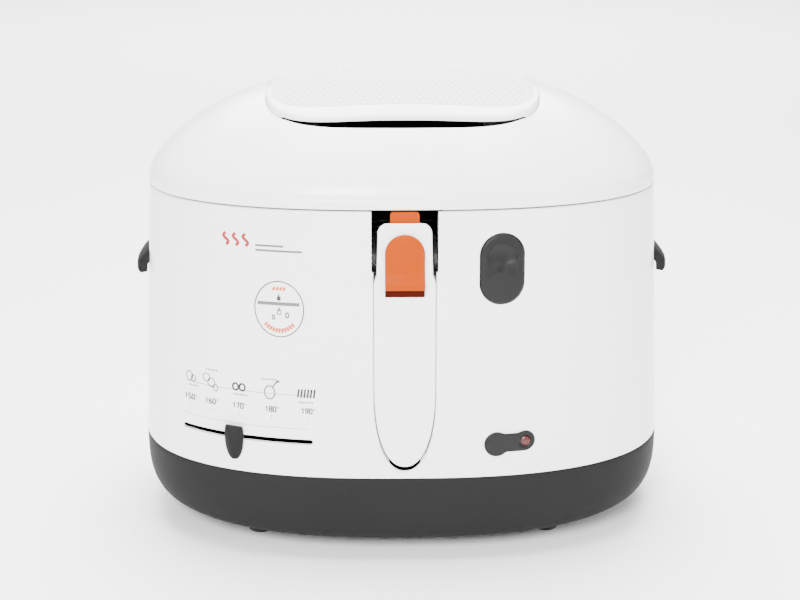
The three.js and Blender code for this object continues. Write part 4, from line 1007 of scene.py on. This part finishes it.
def loop(centre, radii, width, start=0.0, end=360.0, count=48):
    """A stroke along an ellipse, or a part of one, in degrees."""
    angle = np.radians(np.linspace(start, end, count))
    x = centre[0] + radii[0] * np.cos(angle)
    z = centre[1] + radii[1] * np.sin(angle)
    return ribbon(np.column_stack([x, z]), width)


def level_line(x0, x1, z, width, count):
    """A level stroke that follows the face's curve."""
    return ribbon(np.column_stack([np.linspace(x0, x1, count), np.full(count, z)]), width)


DIGITS = {
    "0": [[(0, 0), (0, 1), (1, 1), (1, 0), (0, 0)]],
    "1": [[(0.2, 0.75), (0.6, 1), (0.6, 0)]],
    "5": [[(1, 1), (0, 1), (0, 0.55), (1, 0.5), (1, 0), (0, 0)]],
    "6": [[(1, 1), (0, 0.8), (0, 0), (1, 0), (1, 0.5), (0, 0.5)]],
    "7": [[(0, 1), (1, 1), (0.4, 0)]],
    "8": [[(0, 0), (0, 1), (1, 1), (1, 0), (0, 0)], [(0, 0.5), (1, 0.5)]],
    "9": [[(0, 0), (1, 0.2), (1, 1), (0, 1), (0, 0.5), (1, 0.5)]],
}


def number(text, x, z, height=3.2, width=1.6, gap=0.9, ink=0.75):
    """A row of plain stroked digits with a degree ring, starting at x."""
    strokes = []
    for place, digit in enumerate(text):
        for stroke in DIGITS[digit]:
            shape = np.array(stroke) * [width, height] + [x + place * (width + gap), z]
            strokes += [line(shape[i], shape[i + 1], ink) for i in range(len(shape) - 1)]
    strokes.append(loop((x + len(text) * (width + gap) + 0.3, z + height - 0.5), (0.5, 0.5), 0.3, count=12))
    return strokes


BLACK_INK = finish("black_ink", (0.011, 0.011, 0.012), 0.5, 900, 0.02, mottle=0.1)
GREY_INK = finish("grey_ink", (0.11, 0.11, 0.113), 0.5, 900, 0.02, mottle=0.1)
ORANGE_INK = finish("orange_ink", (0.6, 0.07, 0.0), 0.5, 900, 0.02, mottle=0.05)
RED_INK = finish("red_ink", (0.3, 0.0, 0.004), 0.5, 900, 0.02, mottle=0.05)

STATIONS = [(-137.0, "150"), (-122.8, "160"), (-104.6, "170"), (-83.6, "180"), (-60.8, "190")]
black = []
grey = []
for station_x, text in STATIONS:
    black += number(text, station_x - 3.6, 98.8)
    grey.append(line((station_x, 94.0), (station_x, 97.0), 0.3))
grey.append(level_line(-139, -58, 110.5, 0.35, 40))
grey.append(level_line(-142, -60, 88.6, 0.25, 40))
FOOD_LOOPS = [
    ((-137, 114.0), (2.1, 3.0), 0.6), ((-134.3, 112.9), (1.5, 2.0), 0.6),
    ((-125.4, 115.5), (2.3, 2.6), 0.6), ((-122.2, 112.6), (2.3, 2.8), 0.6),
    ((-119.4, 109.6), (1.4, 2.2), 0.6), ((-106.2, 112.6), (1.8, 2.2), 1.2),
    ((-101.9, 112.6), (1.8, 2.2), 1.2)]
black += [loop(*food) for food in FOOD_LOOPS]
grey += [loop((-84.3, 111.2), (3.3, 4.2), 0.9)]
CAPTIONS = [(-137.5, 108.2, 5), (-125.5, 121.0, 6), (-107.5, 107.6, 7), (-89.5, 119.6, 8),
            (-66.0, 106.0, 7)]
for caption_x, caption_z, dashes in CAPTIONS:
    starts = caption_x + 1.35 * np.arange(dashes)
    black += [line((x, caption_z), (x + 0.8, caption_z), 1.0) for x in starts]
black += [line((-82.6, 114.5), (-79.0, 119.2), 0.8), line((-80.6, 118.0), (-77.6, 118.6), 0.8)]
black += [line((-66.6 + 2.0 * i, 109.0), (-65.8 + 2.0 * i, 114.6), 1.25) for i in range(6)]

RING_CENTRE = (-77.3, 165.0)
RING = (15.2, 17.5)
black += [loop(RING_CENTRE, RING, 0.75, count=96)]
grey.append(level_line(-90.8, -64.6, 168.4, 2.2, 24))
black += [loop((-77.4, 171.8), (0.7, 0.9), 1.2, count=20), line((-77.4, 172.0), (-77.4, 174.6), 0.8)]
black += [loop((-77.3, 162.9), (1.2, 1.4), 0.6, count=20), line((-78.1, 164.0), (-77.3, 166.0), 0.6)]
black += [line((-76.5, 164.0), (-77.3, 166.0), 0.6)]
black += [loop((-80.9, 159.8), (0.8, 1.4), 0.7, count=20), loop((-72.4, 161.4), (0.9, 1.6), 0.8, count=20)]
orange = [line((-81.0 + 2.1 * i, 176.8), (-79.8 + 2.1 * i, 179.0), 1.4) for i in range(4)]
for tick in np.radians(np.linspace(226, 314, 11)):
    spoke = np.array([math.cos(tick), math.sin(tick)])
    orange.append(line(RING_CENTRE + spoke * [10.8, 12.2], RING_CENTRE + spoke * [13.2, 15.0], 1.5))

wave = np.linspace(0, 1, 24)
red = []
for i in range(3):
    wave_x = -110.0 + 6.2 * i + 1.5 * np.sin(2 * np.pi * wave)
    red.append(ribbon(np.column_stack([wave_x, 203.2 + 7.6 * wave]), 1.9))
grey.append(level_line(-91.5, -62.5, 201.4, 1.3, 20))
grey.append(level_line(-91.5, -74.0, 204.4, 1.3, 16))
PRINTS = [("print_black", black, BLACK_INK), ("print_grey", grey, GREY_INK),
          ("print_orange", orange, ORANGE_INK), ("print_red", red, RED_INK)]
for name, strokes, ink in PRINTS:
    print_piece = bpy.data.objects.new(name, bare_mesh(name, joined(*strokes)))
    bpy.context.scene.collection.objects.link(print_piece)
    settle(print_piece, "casing", "white_plastic", ink)

# ---- Carried-over works ----------------------------------------------------
# The pieces inside and the small steel parts keep their CAD shapes and get the finish of
# the real ones.
ALUMINIUM = finish("rolled_aluminium", (0.6, 0.61, 0.63), 0.38, 260, 0.2, metallic=1.0,
                   stretch=(1, 12, 12), mottle=0.08)
FIBRE = finish("filter_fibre_mat", (0.055, 0.055, 0.05), 0.95, 420, 1.0, mottle=0.5)
CERAMIC = finish("cream_moulding", (0.6, 0.53, 0.4), 0.6, 700, 0.2, mottle=0.08)
SLEEVE = finish("silicone_sleeve", (0.42, 0.1, 0.05), 0.6, 800, 0.2, mottle=0.1)
DARK_STEEL = finish("blackened_steel", (0.012, 0.012, 0.013), 0.6, 500, 0.2, metallic=0.3,
                    mottle=0.2)
by_slot = {"white_plastic": WHITE, "charcoal_plastic": CHARCOAL, "orange_plastic": ORANGE,
           "red_lens": RED, "black_rubber": RUBBER, "steel": STEEL, "aluminium": ALUMINIUM,
           "non_stick": COATING, "filter_fibre": FIBRE, "ceramic": CERAMIC, "lead_sleeve": SLEEVE}
by_node = {"handle_pin": DARK_STEEL, "basket_bracket": DARK_STEEL}
for row in frame["record"]["subparts"]:
    node = frame["nodes"][row["node"]]
    thing = node if hasattr(node, "data") else bpy.data.objects[row["node"]]
    thing.data.materials.clear()
    thing.data.materials.append(by_node.get(row["node"], by_slot[row["material_slot"]]))
